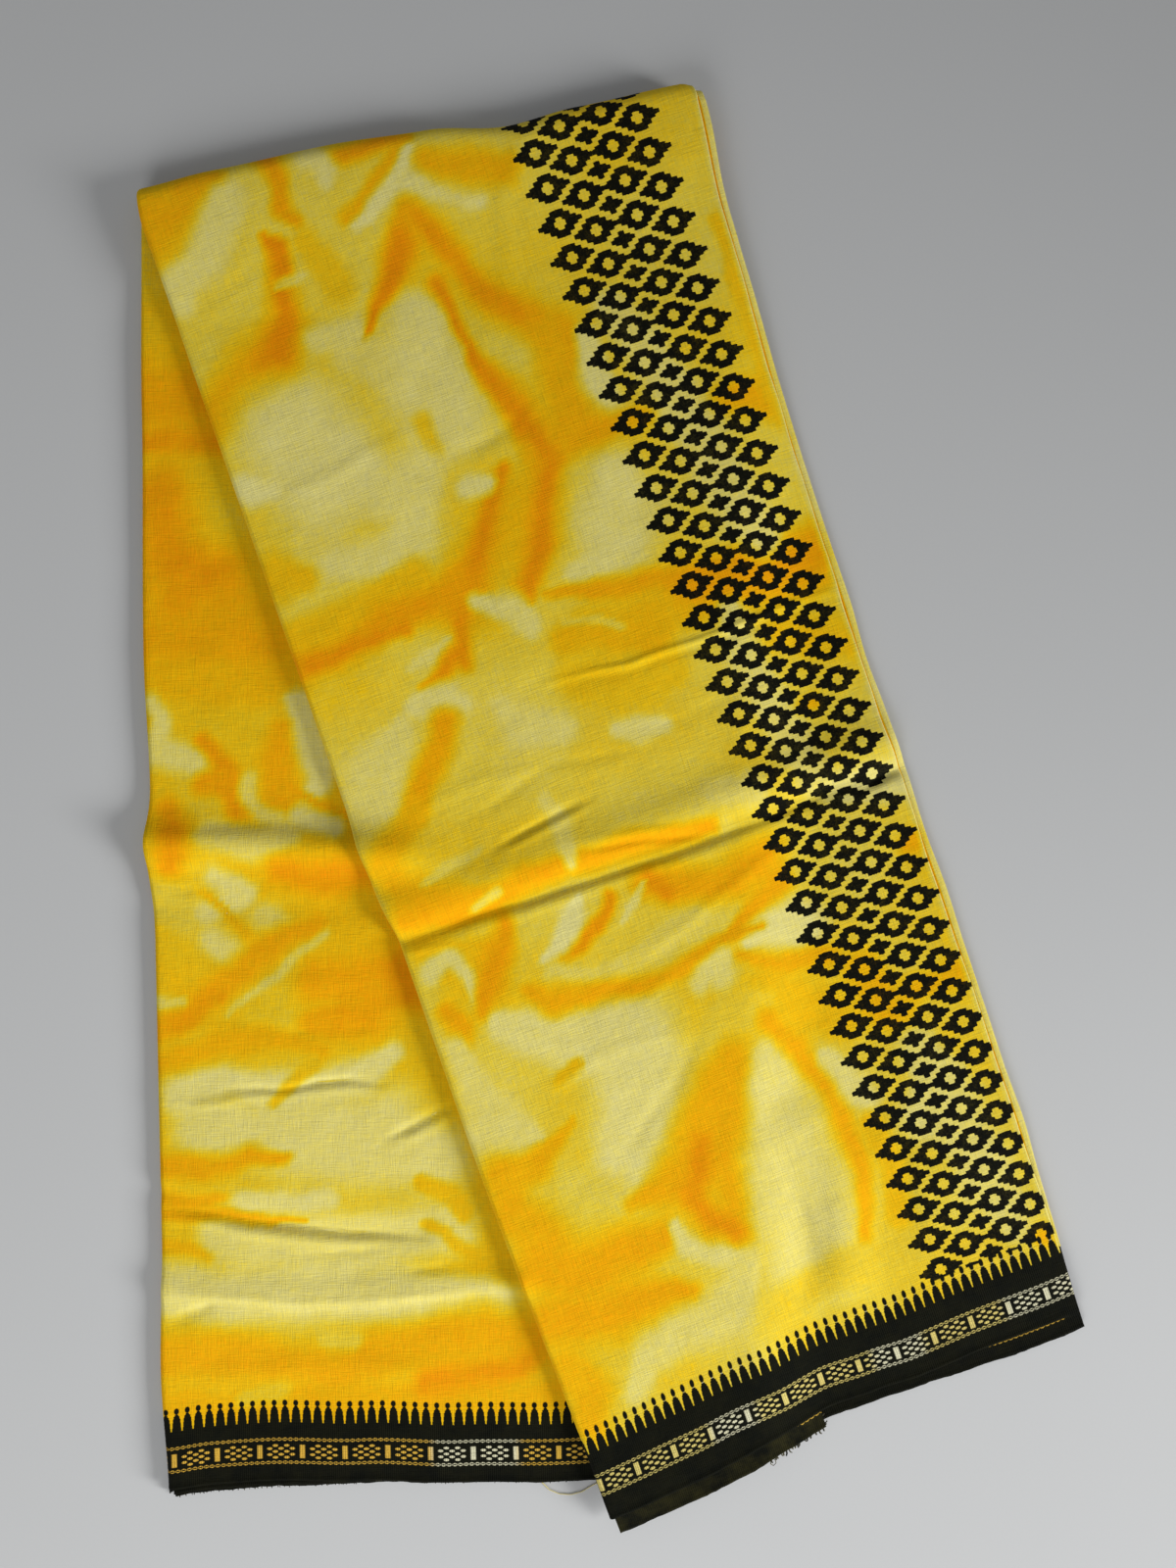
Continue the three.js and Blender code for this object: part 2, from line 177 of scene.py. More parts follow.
# Creases, in each flap's own frame: a rise (a trough is negative), a half width, and the places
# across and down that it runs through. The large ones bend every layer, the fine ones one leaf.
largeCreases = {
    "front": [
        (2.4, 10, [(-6, 337), (235, 338)]),
        (-1.5, 4, [(-6, 350), (90, 349), (235, 352)]),
        (2.6, 13, [(141, 488), (146, 520), (136, 552)]),
        (-0.9, 7, [(109, 497), (122, 522), (118, 551)]),
    ],
    "rear": [
        (5.4, 10, [(-6, 287), (40, 289), (130, 296)]),
        (-0.8, 7, [(0, 316), (90, 318)]),
        (-0.9, 4, [(0, 443), (54, 456), (114, 462)]),
        (1.3, 6, [(0, 485), (60, 489), (158, 485)]),
    ],
}
fineCreases = {
    "front": [
        # the cross crease's sharp foot, with its small branches
        (-1.2, 1.6, [(-4, 351.5), (40, 352), (100, 354), (148, 354), (185, 353), (205, 348)]),
        (0.35, 1.8, [(0, 357), (60, 357.5), (148, 359), (185, 357)]),
        (-1.3, 1.8, [(214, 356), (234, 353)]),
        (0.4, 1.6, [(0, 356), (12, 358.5), (22, 360)]),
        (-1.0, 1.5, [(52, 326), (75, 322), (100, 318.5)]),
        (0.4, 1.8, [(52, 329.5), (75, 325.5), (98, 322)]),
        (-1.2, 1.5, [(88, 339), (100, 342), (115, 344), (130, 348), (143, 352)]),
        (0.45, 1.8, [(90, 335), (103, 338), (117, 340.5), (134, 345)]),
        # pulled threads and old folds higher up
        (0.95, 1.15, [(97, 265), (120, 266), (135, 269), (185, 269.5), (230, 268)]),
        (-0.35, 1.6, [(97, 268.5), (120, 269.5), (135, 272.5), (185, 273), (228, 271.5)]),
        (-0.35, 2.6, [(90, 156), (125, 155), (140, 149)]),
        (-0.3, 3.0, [(20, 66), (60, 82), (108, 88)]),
        (0.35, 3.4, [(60, 150), (96, 190), (112, 232)]),
        (0.35, 2.0, [(130, 436.5), (172, 435.5)]),
        (-0.3, 2.6, [(108, 425), (132, 444), (155, 465)]),
        (0.3, 3.0, [(30, 400), (70, 432), (98, 470)]),
        (0.5, 4.0, [(60, 535), (82, 560), (90, 590)]),
        (-0.5, 3.0, [(123, 498), (126, 520), (124, 548)]),
        (-0.4, 3.0, [(168, 470), (176, 510), (172, 550)]),
        (0.4, 4.0, [(24, 372), (52, 404), (60, 430)]),
        (-0.3, 2.4, [(118, 296), (150, 300), (188, 292)]),
        (0.4, 3.6, [(176, 30), (150, 60), (140, 96)]),
        # faint folds across the bare middle
        (0.3, 1.5, [(96, 164), (118, 158), (140, 147)]),
        (-0.25, 1.5, [(92, 159), (118, 152), (138, 143)]),
        (0.45, 2.0, [(10, 150), (42, 148), (80, 141)]),
        (0.5, 2.0, [(96, 392), (124, 384), (150, 373), (176, 368)]),
        (-0.4, 1.9, [(60, 408), (88, 399), (120, 391)]),
        (0.45, 2.1, [(84, 412), (110, 402), (142, 398), (166, 404)]),
        (0.4, 2.2, [(30, 436), (66, 426), (104, 428)]),
        (-0.4, 2.2, [(60, 470), (90, 452), (112, 430)]),
        (0.45, 2.4, [(22, 300), (60, 296), (92, 302)]),
        (-0.45, 2.4, [(40, 312), (88, 300), (130, 306)]),
        (0.4, 2.2, [(150, 80), (172, 112), (184, 150)]),
        (-0.35, 2.0, [(10, 60), (34, 52), (66, 50)]),
    ],
    "rear": [
        (0.9, 3.2, [(-6, 291), (8, 296), (22, 296)]),
        (-1.0, 1.8, [(-2, 304), (8, 308), (18, 308), (24, 313), (45, 332)]),
        (-0.8, 2.8, [(4, 279), (40, 280), (92, 284)]),
        (-1.15, 1.5, [(30, 397.5), (55, 398.5), (70, 395.5), (85, 394.5), (100, 397.5)]),
        (0.55, 2.2, [(0, 402), (20, 404), (35, 402.5), (50, 400.5), (62, 400)]),
        (0.4, 2.0, [(62, 400), (85, 398.5), (104, 401)]),
        (-1.05, 1.5, [(100, 420), (115, 413.5), (132, 405.5)]),
        (0.45, 2.2, [(103, 424), (118, 417), (134, 409.5)]),
        (-1.5, 1.8, [(3, 449), (20, 452), (40, 456), (65, 459.5), (95, 462.5), (118, 465.5)]),
        (0.8, 2.4, [(0, 454), (20, 457), (40, 461), (65, 464.5), (95, 467)]),
        (-0.4, 1.8, [(55, 471), (100, 469)]),
        (0.9, 2.2, [(3, 487.5), (25, 489.5), (60, 492), (90, 492), (125, 489), (145, 488)]),
        (-0.9, 1.7, [(0, 500), (25, 491.5)]),
        (-0.7, 1.6, [(108, 479), (127, 477)]),
        (0.5, 4.5, [(30, 232), (60, 252), (92, 270)]),
        (-0.4, 3.5, [(16, 236), (40, 262), (56, 280)]),
        (0.45, 4.0, [(8, 340), (46, 352), (96, 350)]),
        (-0.35, 3.0, [(18, 362), (54, 372), (100, 372)]),
        (0.4, 5.0, [(0, 120), (24, 150), (40, 190)]),
        (-0.4, 4.0, [(6, 186), (34, 204), (62, 226)]),
        (0.5, 5.0, [(10, 525), (70, 520), (150, 524)]),
    ],
}


# How far a place is from a path, and how far along the path it is nearest to, from 0 to 1.
def nearPath(a, d, path):
    nearest = np.full(np.shape(a), np.inf)
    along = np.zeros(np.shape(a))
    lengths = [math.dist(start, end) for start, end in zip(path, path[1:])]
    passed = 0.0
    for (ax, ay), (bx, by), length in zip(path, path[1:], lengths):
        share = np.clip(((a - ax) * (bx - ax) + (d - ay) * (by - ay)) / length**2, 0, 1)
        distance = np.hypot(a - ax - share * (bx - ax), d - ay - share * (by - ay))
        along = np.where(distance < nearest, (passed + share * length) / sum(lengths), along)
        nearest = np.minimum(nearest, distance)
        passed += length
    return nearest, along


# A tapered crease fades to this share of its rise at its ends.
creaseEnd = 0.25


def creaseRise(creases, a, d, taper=0.0):
    rise = np.zeros(np.shape(a))
    for height, half, path in creases:
        distance, along = nearPath(a, d, path)
        part = height * np.exp(-((distance / half) ** 2))
        if taper:
            fromEnd = smooth(np.minimum(along, 1 - along) / taper)
            part = part * (creaseEnd + (1 - creaseEnd) * fromEnd)
        rise = rise + part
    return rise


# Soft, seeded unevenness from -1 to 1, with lumps about as wide as the size given.
lumpGrid = {"cells": 64, "shift": (17.3, 9.1)}


def lumps(x, y, size, seed):
    cells = lumpGrid["cells"]
    values = np.random.default_rng(seed).uniform(-1, 1, (cells, cells))
    u, v = [place / size + shift for place, shift in zip((x, y), lumpGrid["shift"])]
    i, j = np.floor(u).astype(int), np.floor(v).astype(int)
    fu, fv = smooth(u - i), smooth(v - j)

    def corner(right, up):
        return values[(i + right) % cells, (j + up) % cells]

    low = corner(0, 0) * (1 - fu) + corner(1, 0) * fu
    high = corner(0, 1) * (1 - fu) + corner(1, 1) * fu
    return low * (1 - fv) + high * fv


# Small wrinkles, as how high each kind is and how wide, and how far the fine creases wander. On
# the rear flap they end beside the front flap's edge.
wrinkles = {
    "broad": 0.55, "broadSize": 44,
    "middle": 0.24, "middleSize": 17,
    "small": 0.07, "smallSize": 7, "smallSlant": 0.3,
    "wander": 1.2, "wanderSize": 22,
    "taper": 0.3,
    "endBefore": 7, "endWithin": 12,
    "seed": {"front": 3, "rear": 8},
}


def fineRise(side, x, y):
    a, d = inFlap(side, x, y)
    seed = wrinkles["seed"][side]
    rise = wrinkles["broad"] * lumps(a, d, wrinkles["broadSize"], seed)
    rise = rise + wrinkles["middle"] * lumps(a, d, wrinkles["middleSize"], seed + 1)
    slanted = a + d * wrinkles["smallSlant"]
    rise = rise + wrinkles["small"] * lumps(slanted, d, wrinkles["smallSize"], seed + 2)
    wander = wrinkles["wander"] * lumps(a, d, wrinkles["wanderSize"], seed + 6)
    rise = rise + creaseRise(fineCreases[side], a + wander, d + wander, wrinkles["taper"])
    if side == "rear":
        under, down = inFlap("front", x, y)
        under = under - eased(edgeStray["front"]["left"], down)
        rise = rise * (1 - smooth((under + wrinkles["endBefore"]) / wrinkles["endWithin"]))
    return rise


def rearRise(x, y):
    a, d = inFlap("rear", x, y)
    under = inFlap("front", x, y)[0]
    return creaseRise(largeCreases["rear"], a, d) * (1 - smooth(under / packet["fadeUnderFront"]))


def frontBase(x, y, down):
    rise = rearRise(x, y)
    clearance = packet["gap"] + packet["looser"] * np.maximum(0, rise)
    settled = smooth((down - fold["reach"]) / fold["settle"])
    dropped = smooth((outsideRear(x, y) - packet["dropStart"]) / packet["dropLength"]) * settled
    onRear = packet["thick"] + clearance + rise * settled
    lift = fold["crown"] - 2 * packet["thick"] - packet["gap"]
    return onRear * (1 - dropped) + lift * (1 - settled)


# The selvedge is woven thicker, and rolls a little.
selvedge = {"rise": 0.3, "half": 0.75, "from": 0.8}


def selvedgeRise(fromHem):
    return selvedge["rise"] * np.exp(-(((fromHem - selvedge["from"]) / selvedge["half"]) ** 2))


# A point of the packet: on the rear leg, on the round of the top fold or on the front leg; how
# far down the leg, or at what angle of the round; and how deep in from the packet's outer face.
def packetPoint(leg, along, at, depth):
    middle = fold["crown"] / 2
    throughFolds = smooth((depth - packet["wall"]) / (packet["thick"] - 2 * packet["wall"]))
    throughLeaf = smooth(depth / leafRoom)
    if leg == "round":
        down = fold["reach"] - (fold["reach"] - depth) * np.cos(at)
        rear, front = plan("rear", along, down), plan("front", along, down)
        x, y = [np.where(at < 0, r, f) for r, f in zip(rear, front)]
        a, d = inFlap("front", x, y)
        dimple = wrinkles["broad"] * lumps(a, d, wrinkles["broadSize"], wrinkles["seed"]["front"])
        dimple = dimple * np.clip(np.sin(at), 0, 1)
        z = middle + (middle - depth) * np.sin(at) + dimple * (1 - throughLeaf)
        return x, y, z
    x, y = plan(leg, along, at)
    if leg == "rear":
        upwards = smooth((depth - packet["thick"] + packet["wall"] + packet["gap"]) / leafRoom)
        z = depth + rearRise(x, y) * throughFolds + fineRise("rear", x, y) * upwards
        return x, y, np.maximum(z, np.minimum(depth, packet["lowest"]))
    a, d = inFlap("front", x, y)
    rise = creaseRise(largeCreases["front"], a, d) * (1 - throughFolds)
    rise = rise + fineRise("front", x, y) * (1 - throughLeaf)
    return x, y, frontBase(x, y, at) + packet["thick"] - depth + rise


# The dye, from 0, bare cotton, to 1, deep orange. Each stroke is a tone and the places that the
# brush went through: millimetres across and down in the flap's frame, and its half width there.
frontStrokes = [
    # from the top fold to the pale arch
    (0.75, [(0, 20, 16), (22, 12, 9), (33, 10, 5)]),
    (0.12, [(36, 22, 8), (20, 40, 9), (5, 48, 8), (2, 56, 6)]),
    (0.85, [(57, 8, 6), (60, 20, 4), (58, 32, 4), (62, 40, 3)]),
    (0.10, [(76, 14, 7), (82, 20, 6), (78, 30, 3)]),
    (0.85, [(92, 18, 5), (108, 17, 5), (121, 20, 3)]),
    (0.75, [(118, 22, 4), (100, 35, 4), (84, 45, 4)]),
    (0.05, [(119, 27, 3), (104, 40, 5), (86, 49, 3)]),
    (0.10, [(112, 40, 5), (128, 48, 5), (140, 56, 4)]),
    (0.72, [(124, 34, 5), (140, 42, 9), (155, 47, 7)]),
    (0.20, [(66, 102, 9), (88, 118, 12), (100, 128, 9)]),
    (0.75, [(48, 45, 3), (47, 65, 6), (42, 80, 9), (28, 92, 14), (12, 100, 12)]),
    (1.00, [(46, 40, 2), (50, 47, 3), (49, 62, 2.5), (45, 75, 3), (38, 85, 7), (33, 95, 8)]),
    (0.74, [(-4, 108, 12), (12, 108, 8)]),
    (0.08, [(30, 124, 23), (35, 145, 24)]),
    (0.55, [(62, 50, 7), (70, 70, 8)]),
    (0.10, [(46, 64, 1.5), (56, 63, 2)]),
    (0.15, [(55, 88, 6), (70, 90, 6)]),
    # the two long legs that meet under the pale knee
    (0.75, [(110, 52, 6), (100, 68, 9), (88, 80, 5)]),
    (1.00, [(110, 52, 3), (105, 60, 6), (95, 72, 4), (83, 84, 3), (77, 91, 1.5), (74, 95, 0.7)]),
    (0.70, [
        (112, 56, 8), (118, 70, 8), (124, 85, 7), (131, 98, 8), (143, 110, 10), (152, 122, 11),
        (155, 135, 7),
    ]),
    (0.90, [
        (112, 56, 4), (118, 70, 4), (124, 85, 3.5), (131, 98, 4), (143, 110, 5), (152, 122, 6),
        (155, 135, 3),
    ]),
    (0.10, [(98, 95, 11), (95, 115, 16), (92, 140, 18)]),
    (0.50, [(85, 140, 6), (85, 150, 5)]),
    (0.70, [(116, 120, 4), (125, 140, 8), (133, 160, 10)]),
    (0.95, [
        (110, 84, 4), (112, 96, 3), (114, 108, 2), (116, 122, 3), (119, 132, 4), (124, 145, 5),
        (129, 158, 5),
    ]),
    (0.72, [(150, 118, 8), (148, 140, 10), (147, 156, 8)]),
    (0.08, [(163, 128, 5), (163, 150, 7), (166, 158, 6)]),
    (0.78, [(130, 168, 7), (150, 168, 8), (168, 168, 6)]),
    (0.75, [(168, 168, 5), (200, 172, 5), (235, 178, 10)]),
    (0.60, [(236, 100, 3), (235, 140, 4), (236, 175, 5), (238, 200, 3)]),
    (0.70, [(130, 172, 9), (120, 190, 11), (110, 208, 12), (103, 222, 7)]),
    (0.95, [
        (131, 162, 3), (133, 172, 4), (127, 183, 4), (121, 192, 4), (115, 205, 5), (108, 218, 5),
        (104, 228, 2),
    ]),
    (0.10, [(158, 190, 10), (150, 210, 18), (150, 222, 14), (125, 226, 4)]),
    (0.78, [(112, 228, 2), (130, 234, 4), (150, 238, 5), (170, 242, 6), (200, 244, 8), (232, 246, 8)]),
    (0.65, [(120, 248, 8), (150, 254, 9), (225, 258, 8)]),
    (0.85, [(170, 246, 8), (200, 248, 10), (232, 252, 9)]),
    (0.72, [(104, 182, 9), (90, 200, 10), (76, 220, 14)]),
    (0.12, [(60, 165, 12), (75, 160, 12), (60, 190, 12), (30, 185, 8)]),
    (0.95, [
        (112, 170, 3), (104, 180, 3), (96, 188, 4), (88, 200, 4), (80, 212, 5), (74, 222, 4),
        (66, 245, 4),
    ]),
    (0.60, [(0, 208, 6), (40, 206, 8), (60, 200, 8)]),
    (0.85, [(-5, 222, 8), (15, 222, 7), (40, 217, 7), (60, 214, 8), (75, 215, 10)]),
    (0.95, [(5, 223, 3), (45, 222, 3)]),
    (0.60, [(2, 182, 12), (14, 186, 6)]),
    (0.08, [(95, 172, 6), (103, 175, 4)]),
    (0.03, [(2, 142, 8), (12, 145, 4)]),
    (0.06, [(52, 150, 9), (48, 140, 9)]),
    # between the middle streak and the cross crease
    (0.12, [(82, 222, 4), (95, 228, 8), (100, 238, 6)]),
    (0.55, [(112, 268, 10), (130, 277, 12), (150, 276, 10)]),
    (0.68, [(112, 250, 6), (130, 256, 7), (150, 262, 6)]),
    (0.20, [(115, 243, 2), (126, 247, 2.5), (138, 252, 2)]),
    (0.10, [(62, 233, 2), (52, 238, 3), (42, 240, 1.5)]),
    (0.95, [(62, 240, 4), (55, 247, 4), (46, 250, 2)]),
    (0.10, [(40, 256, 5), (52, 258, 8), (58, 262, 5)]),
    (0.15, [(30, 262, 6), (15, 275, 12), (8, 290, 12)]),
    (0.80, [(50, 266, 5), (45, 274, 6), (35, 283, 6), (28, 292, 5), (22, 300, 5)]),
    (0.15, [(75, 268, 4), (80, 280, 8), (95, 285, 8)]),
    (0.12, [(120, 294, 3), (130, 297, 6), (140, 300, 4)]),
    (0.70, [(25, 298, 5), (12, 308, 8), (5, 320, 8), (12, 335, 10), (25, 342, 8), (45, 344, 5)]),
    (0.80, [(5, 345, 7), (40, 346, 6), (80, 342, 6), (110, 345, 6), (145, 348, 4)]),
    (0.20, [(150, 333, 6), (165, 338, 8)]),
    (0.20, [(20, 332, 2), (32, 326, 3), (45, 322, 2)]),
    (0.08, [(36, 346, 2), (46, 343, 3)]),
    (0.20, [(78, 312, 3), (84, 330, 5), (82, 343, 3)]),
    # under the cross crease
    (0.60, [(8, 356, 8), (26, 372, 16), (30, 392, 8)]),
    (0.12, [(6, 368, 5), (18, 364, 4), (24, 378, 3), (22, 392, 2)]),
    (0.85, [(45, 356, 4), (38, 368, 6), (32, 380, 5), (24, 392, 4)]),
    (0.80, [(8, 385, 5), (12, 395, 6), (8, 405, 4)]),
    (0.80, [(108, 364, 6), (125, 368, 9), (145, 372, 10), (165, 368, 8)]),
    (0.95, [(112, 362, 4), (118, 370, 4)]),
    (0.90, [(92, 362, 3), (86, 370, 3), (76, 376, 3), (64, 381, 2)]),
    (0.02, [(80, 358, 2), (74, 366, 5), (64, 376, 4.5), (54, 380, 2)]),
    (0.05, [(109, 362, 1.2), (101, 369, 2.5), (93, 374, 1.2)]),
    (0.25, [(55, 386, 3), (80, 392, 4), (105, 390, 6), (125, 384, 6), (120, 396, 5)]),
    (0.80, [(134, 398, 2), (148, 388, 4), (165, 380, 6)]),
    (0.05, [(140, 403, 2), (152, 400, 7), (166, 402, 12)]),
    (0.08, [(30, 400, 6), (50, 415, 12), (80, 425, 20), (75, 450, 20), (60, 475, 12), (55, 490, 7)]),
    (0.78, [
        (45, 390, 4), (52, 399, 6), (75, 400, 5), (95, 404, 4), (110, 402, 4), (130, 398, 3),
        (150, 398, 2),
    ]),
    (0.60, [(145, 424, 8), (160, 440, 13), (170, 448, 9)]),
    (0.75, [(135, 406, 2), (150, 414, 4), (165, 418, 5), (175, 420, 5)]),
    (0.15, [(116, 412, 5), (130, 404, 4), (128, 412, 6)]),
    (0.40, [(122, 428, 7), (138, 430, 7)]),
    (0.16, [(6, 402, 5), (8, 420, 8), (15, 440, 10)]),
    (0.60, [(45, 430, 2.5), (58, 426, 2.5)]),
    (0.30, [(36, 474, 7), (48, 488, 10)]),
    (0.72, [(46, 450, 1.5), (36, 457, 4), (22, 463, 8), (8, 462, 9), (5, 480, 11), (15, 492, 11)]),
    (0.15, [(5, 440, 8), (20, 447, 7), (28, 452, 3)]),
    # the tulip of bare petals above the hem
    (0.75, [(122, 445, 8), (112, 458, 12), (100, 472, 13), (88, 485, 13), (72, 492, 8), (56, 494, 3)]),
    (0.75, [(112, 465, 10), (104, 490, 9), (98, 510, 7), (96, 525, 4)]),
    (0.92, [(95, 478, 4), (90, 490, 5), (82, 500, 6), (86, 512, 6), (94, 520, 5)]),
    (0.12, [(134, 450, 4), (132, 470, 11), (129, 495, 18), (127, 520, 21), (126, 545, 21)]),
    (0.76, [(138, 438, 5), (148, 455, 6), (155, 475, 5), (157, 500, 5), (155, 525, 4), (150, 545, 3)]),
    (0.10, [(160, 462, 4), (165, 478, 7), (172, 488, 5)]),
    (0.60, [(168, 498, 5), (172, 515, 5), (168, 540, 6)]),
    (0.78, [(5, 505, 10), (25, 512, 13), (50, 512, 12), (65, 510, 8)]),
    (0.78, [(5, 530, 10), (30, 535, 12), (55, 535, 8), (70, 537, 4)]),
    (0.10, [(70, 506, 2.5), (73, 518, 4.5), (82, 526, 4), (88, 530, 4)]),
    (0.15, [(95, 535, 7), (80, 552, 11), (55, 555, 9), (40, 560, 8), (30, 572, 6)]),
    (0.70, [(5, 550, 9), (12, 565, 10), (8, 578, 8)]),
    (0.40, [(106, 558, 8), (135, 552, 9), (165, 560, 8)]),
    # under the print
    (0.08, [(205, 352, 8), (228, 356, 9)]),
    (0.70, [(188, 430, 9), (192, 452, 10)]),
    (0.70, [(205, 445, 5), (232, 446, 6)]),
    (0.80, [(224, 384, 4), (234, 386, 6)]),
    (0.70, [(186, 312, 3), (208, 313, 3)]),
    (0.60, [(204, 278, 8), (232, 290, 9)]),
    (0.70, [(222, 566, 5), (232, 570, 7)]),
    (0.30, [(192, 548, 9), (212, 530, 8)]),
    (0.10, [(190, 502, 10), (206, 486, 9)]),
    (0.16, [(178, 120, 8), (187, 140, 11), (191, 160, 11), (197, 185, 12), (201, 210, 12), (207, 235, 9)]),
    (0.16, [(184, 262, 6), (186, 300, 9), (192, 328, 11), (197, 346, 7)]),
    (0.16, [(198, 470, 9), (205, 500, 12), (207, 535, 12), (214, 558, 8)]),
]
rearStrokes = [
    (0.58, [(4, 52, 16), (22, 60, 14)]),
    (0.46, [(4, 34, 12), (16, 40, 10)]),
    (0.82, [(4, 90, 16), (34, 92, 15)]),
    (0.90, [(0, 110, 5), (42, 110, 5)]),
    (0.90, [(5, 135, 14), (10, 160, 16), (30, 170, 14), (15, 178, 10)]),
    (0.80, [(4, 200, 18), (44, 202, 20)]),
    (0.68, [(6, 214, 9), (56, 216, 9)]),
    (0.15, [(0, 224, 4), (6, 232, 4), (2, 245, 8), (12, 250, 8), (20, 256, 5)]),
    (0.80, [(58, 240, 5), (55, 255, 8), (58, 268, 6), (62, 280, 4)]),
    (0.90, [(22, 243, 3), (30, 255, 5), (34, 262, 5), (40, 278, 4)]),
    (0.10, [(42, 262, 4), (47, 272, 3), (55, 278, 4)]),
    (0.10, [(66, 225, 5), (70, 245, 7), (74, 262, 6), (70, 268, 4)]),
    (0.80, [(62, 265, 2), (75, 272, 2), (88, 278, 2)]),
    (0.85, [(20, 262, 4), (32, 262, 5)]),
    (0.10, [(66, 278, 6), (80, 282, 5)]),
    (0.90, [(5, 272, 5), (12, 285, 7), (8, 298, 6)]),
    (0.20, [(28, 285, 7), (45, 288, 8), (60, 286, 6)]),
    (0.90, [(55, 302, 5), (75, 305, 8), (92, 302, 8)]),
    (0.35, [(2, 312, 9), (14, 320, 9)]),
    (0.12, [(28, 302, 5), (40, 310, 6), (22, 318, 5)]),
    (0.25, [(50, 320, 7), (56, 326, 6)]),
    (0.70, [(22, 310, 2), (32, 318, 2), (40, 328, 3)]),
    (0.15, [(25, 330, 6), (35, 338, 5)]),
    (0.78, [(0, 372, 5), (15, 362, 6), (30, 350, 6), (45, 338, 7), (58, 330, 6), (72, 326, 4)]),
    (0.86, [(8, 366, 4), (26, 355, 4)]),
    (0.15, [(40, 356, 2), (50, 348, 2), (60, 340, 2), (75, 330, 2)]),
    (0.20, [(30, 366, 2), (38, 358, 2)]),
    (0.10, [(2, 358, 2.5), (12, 357, 2)]),
    (0.82, [(70, 350, 9), (90, 352, 13), (105, 345, 10), (95, 365, 11), (70, 368, 7)]),
    (0.95, [(108, 346, 6), (112, 358, 6)]),
    (0.72, [(0, 385, 6), (25, 378, 6), (50, 376, 6), (70, 380, 4)]),
    (0.08, [(105, 382, 5), (90, 392, 9), (60, 400, 9), (30, 394, 6), (10, 400, 8)]),
    (0.12, [(20, 415, 14), (60, 420, 20), (100, 420, 22), (122, 430, 16)]),
    (0.14, [(28, 462, 11), (80, 466, 14), (128, 462, 13)]),
    (0.55, [(68, 386, 4), (58, 396, 3), (50, 404, 2)]),
    (0.78, [(-3, 432, 5), (20, 432, 6), (40, 428, 5), (58, 430, 3)]),
    (0.75, [(0, 445, 4), (20, 446, 4), (30, 444, 2)]),
    (0.10, [(36, 446, 5), (74, 447, 5)]),
    (0.75, [(0, 452, 3), (25, 452, 3), (50, 455, 2), (65, 457, 1.5)]),
    (0.70, [(0, 466, 4), (12, 468, 3), (22, 472, 2)]),
    (0.60, [(115, 440, 3), (130, 445, 4), (135, 455, 4)]),
    (0.60, [(118, 460, 3), (130, 468, 3), (142, 476, 4), (155, 482, 5)]),
    (0.10, [(4, 488, 13), (80, 488, 14), (150, 494, 9)]),
    (0.75, [
        (-3, 515, 10), (30, 515, 10), (55, 520, 9), (80, 522, 9), (110, 512, 10), (140, 508, 12),
        (165, 512, 12),
    ]),
    (0.70, [(0, 537, 8), (190, 537, 8)]),
    (0.92, [(115, 530, 6), (140, 526, 6), (160, 522, 5)]),
    (0.45, [(35, 534, 3), (52, 532, 4)]),
    (0.35, [(70, 508, 4), (85, 510, 4)]),
]
dye = {
    "base": {"front": 0.37, "rear": 0.54},
    "softness": 0.56,
    "deep": 0.6,  # strokes deeper than this bled further
    "bleed": 1.1,
    "bare": 0.3,  # strokes paler than this, and nowhere as wide as the next, were half dyed over
    "narrow": 4.5,
    "halfBare": 0.72,
    "creep": 2.2, "creepSize": 16,
    "fringe": 0.8, "fringeSize": 5,
    "cloud": 0.11, "cloudSize": 30,
    "seed": {"front": 21, "rear": 31, "outer": 41, "plain": 51},
}
# Where the border's bright threads come out pale.
paleThreads = {"front": [(56, 78), (134, 158), (196, 232)], "rear": [(118, 156)]}


def strokeCover(a, d, tone, route):
    softness = dye["softness"] + dye["bleed"] * max(0, tone - dye["deep"])
    widest = max(half for _, _, half in route)
    strength = dye["halfBare"] if tone < dye["bare"] and widest < dye["narrow"] else 1.0
    nearest = np.full(np.shape(a), np.inf)
    for (ax, ay, aHalf), (bx, by, bHalf) in zip(route, route[1:]):
        share = ((a - ax) * (bx - ax) + (d - ay) * (by - ay)) / ((bx - ax) ** 2 + (by - ay) ** 2)
        share = np.clip(share, 0, 1)
        distance = np.hypot(a - ax - share * (bx - ax), d - ay - share * (by - ay))
        nearest = np.minimum(nearest, distance / (aHalf + (bHalf - aHalf) * share))
    return strength * (1 - smooth((nearest - 1 + softness) / (2 * softness)))


# The wet dye crept unevenly, so that the strokes' edges wander.
def crept(value, a, d, seed):
    value = value + dye["creep"] * lumps(a, d, dye["creepSize"], seed)
    return value + dye["fringe"] * lumps(a, d, dye["fringeSize"], seed + 1)


def paintDye(strokes, side, a, d):
    seed = dye["seed"][side]
    creptA = crept(a, a, d, seed)
    creptD = crept(d, a, d, seed + 2)
    level = dye["base"][side] + dye["cloud"] * lumps(a, d, dye["cloudSize"], seed + 4)
    for tone, route in strokes:
        level = level + (tone - level) * strokeCover(creptA, creptD, tone, route)
    return level


# Dye on cloth that the photo doesn't show: the same kind of clouds, from seeded lumps.
streaks = {
    "bend": 14, "bendSize": 60, "slant": 0.4, "size": 26, "fine": 0.6, "fineSize": 11,
    "middle": 0.42, "spread": 0.55, "limits": (-0.7, 0.9),
}


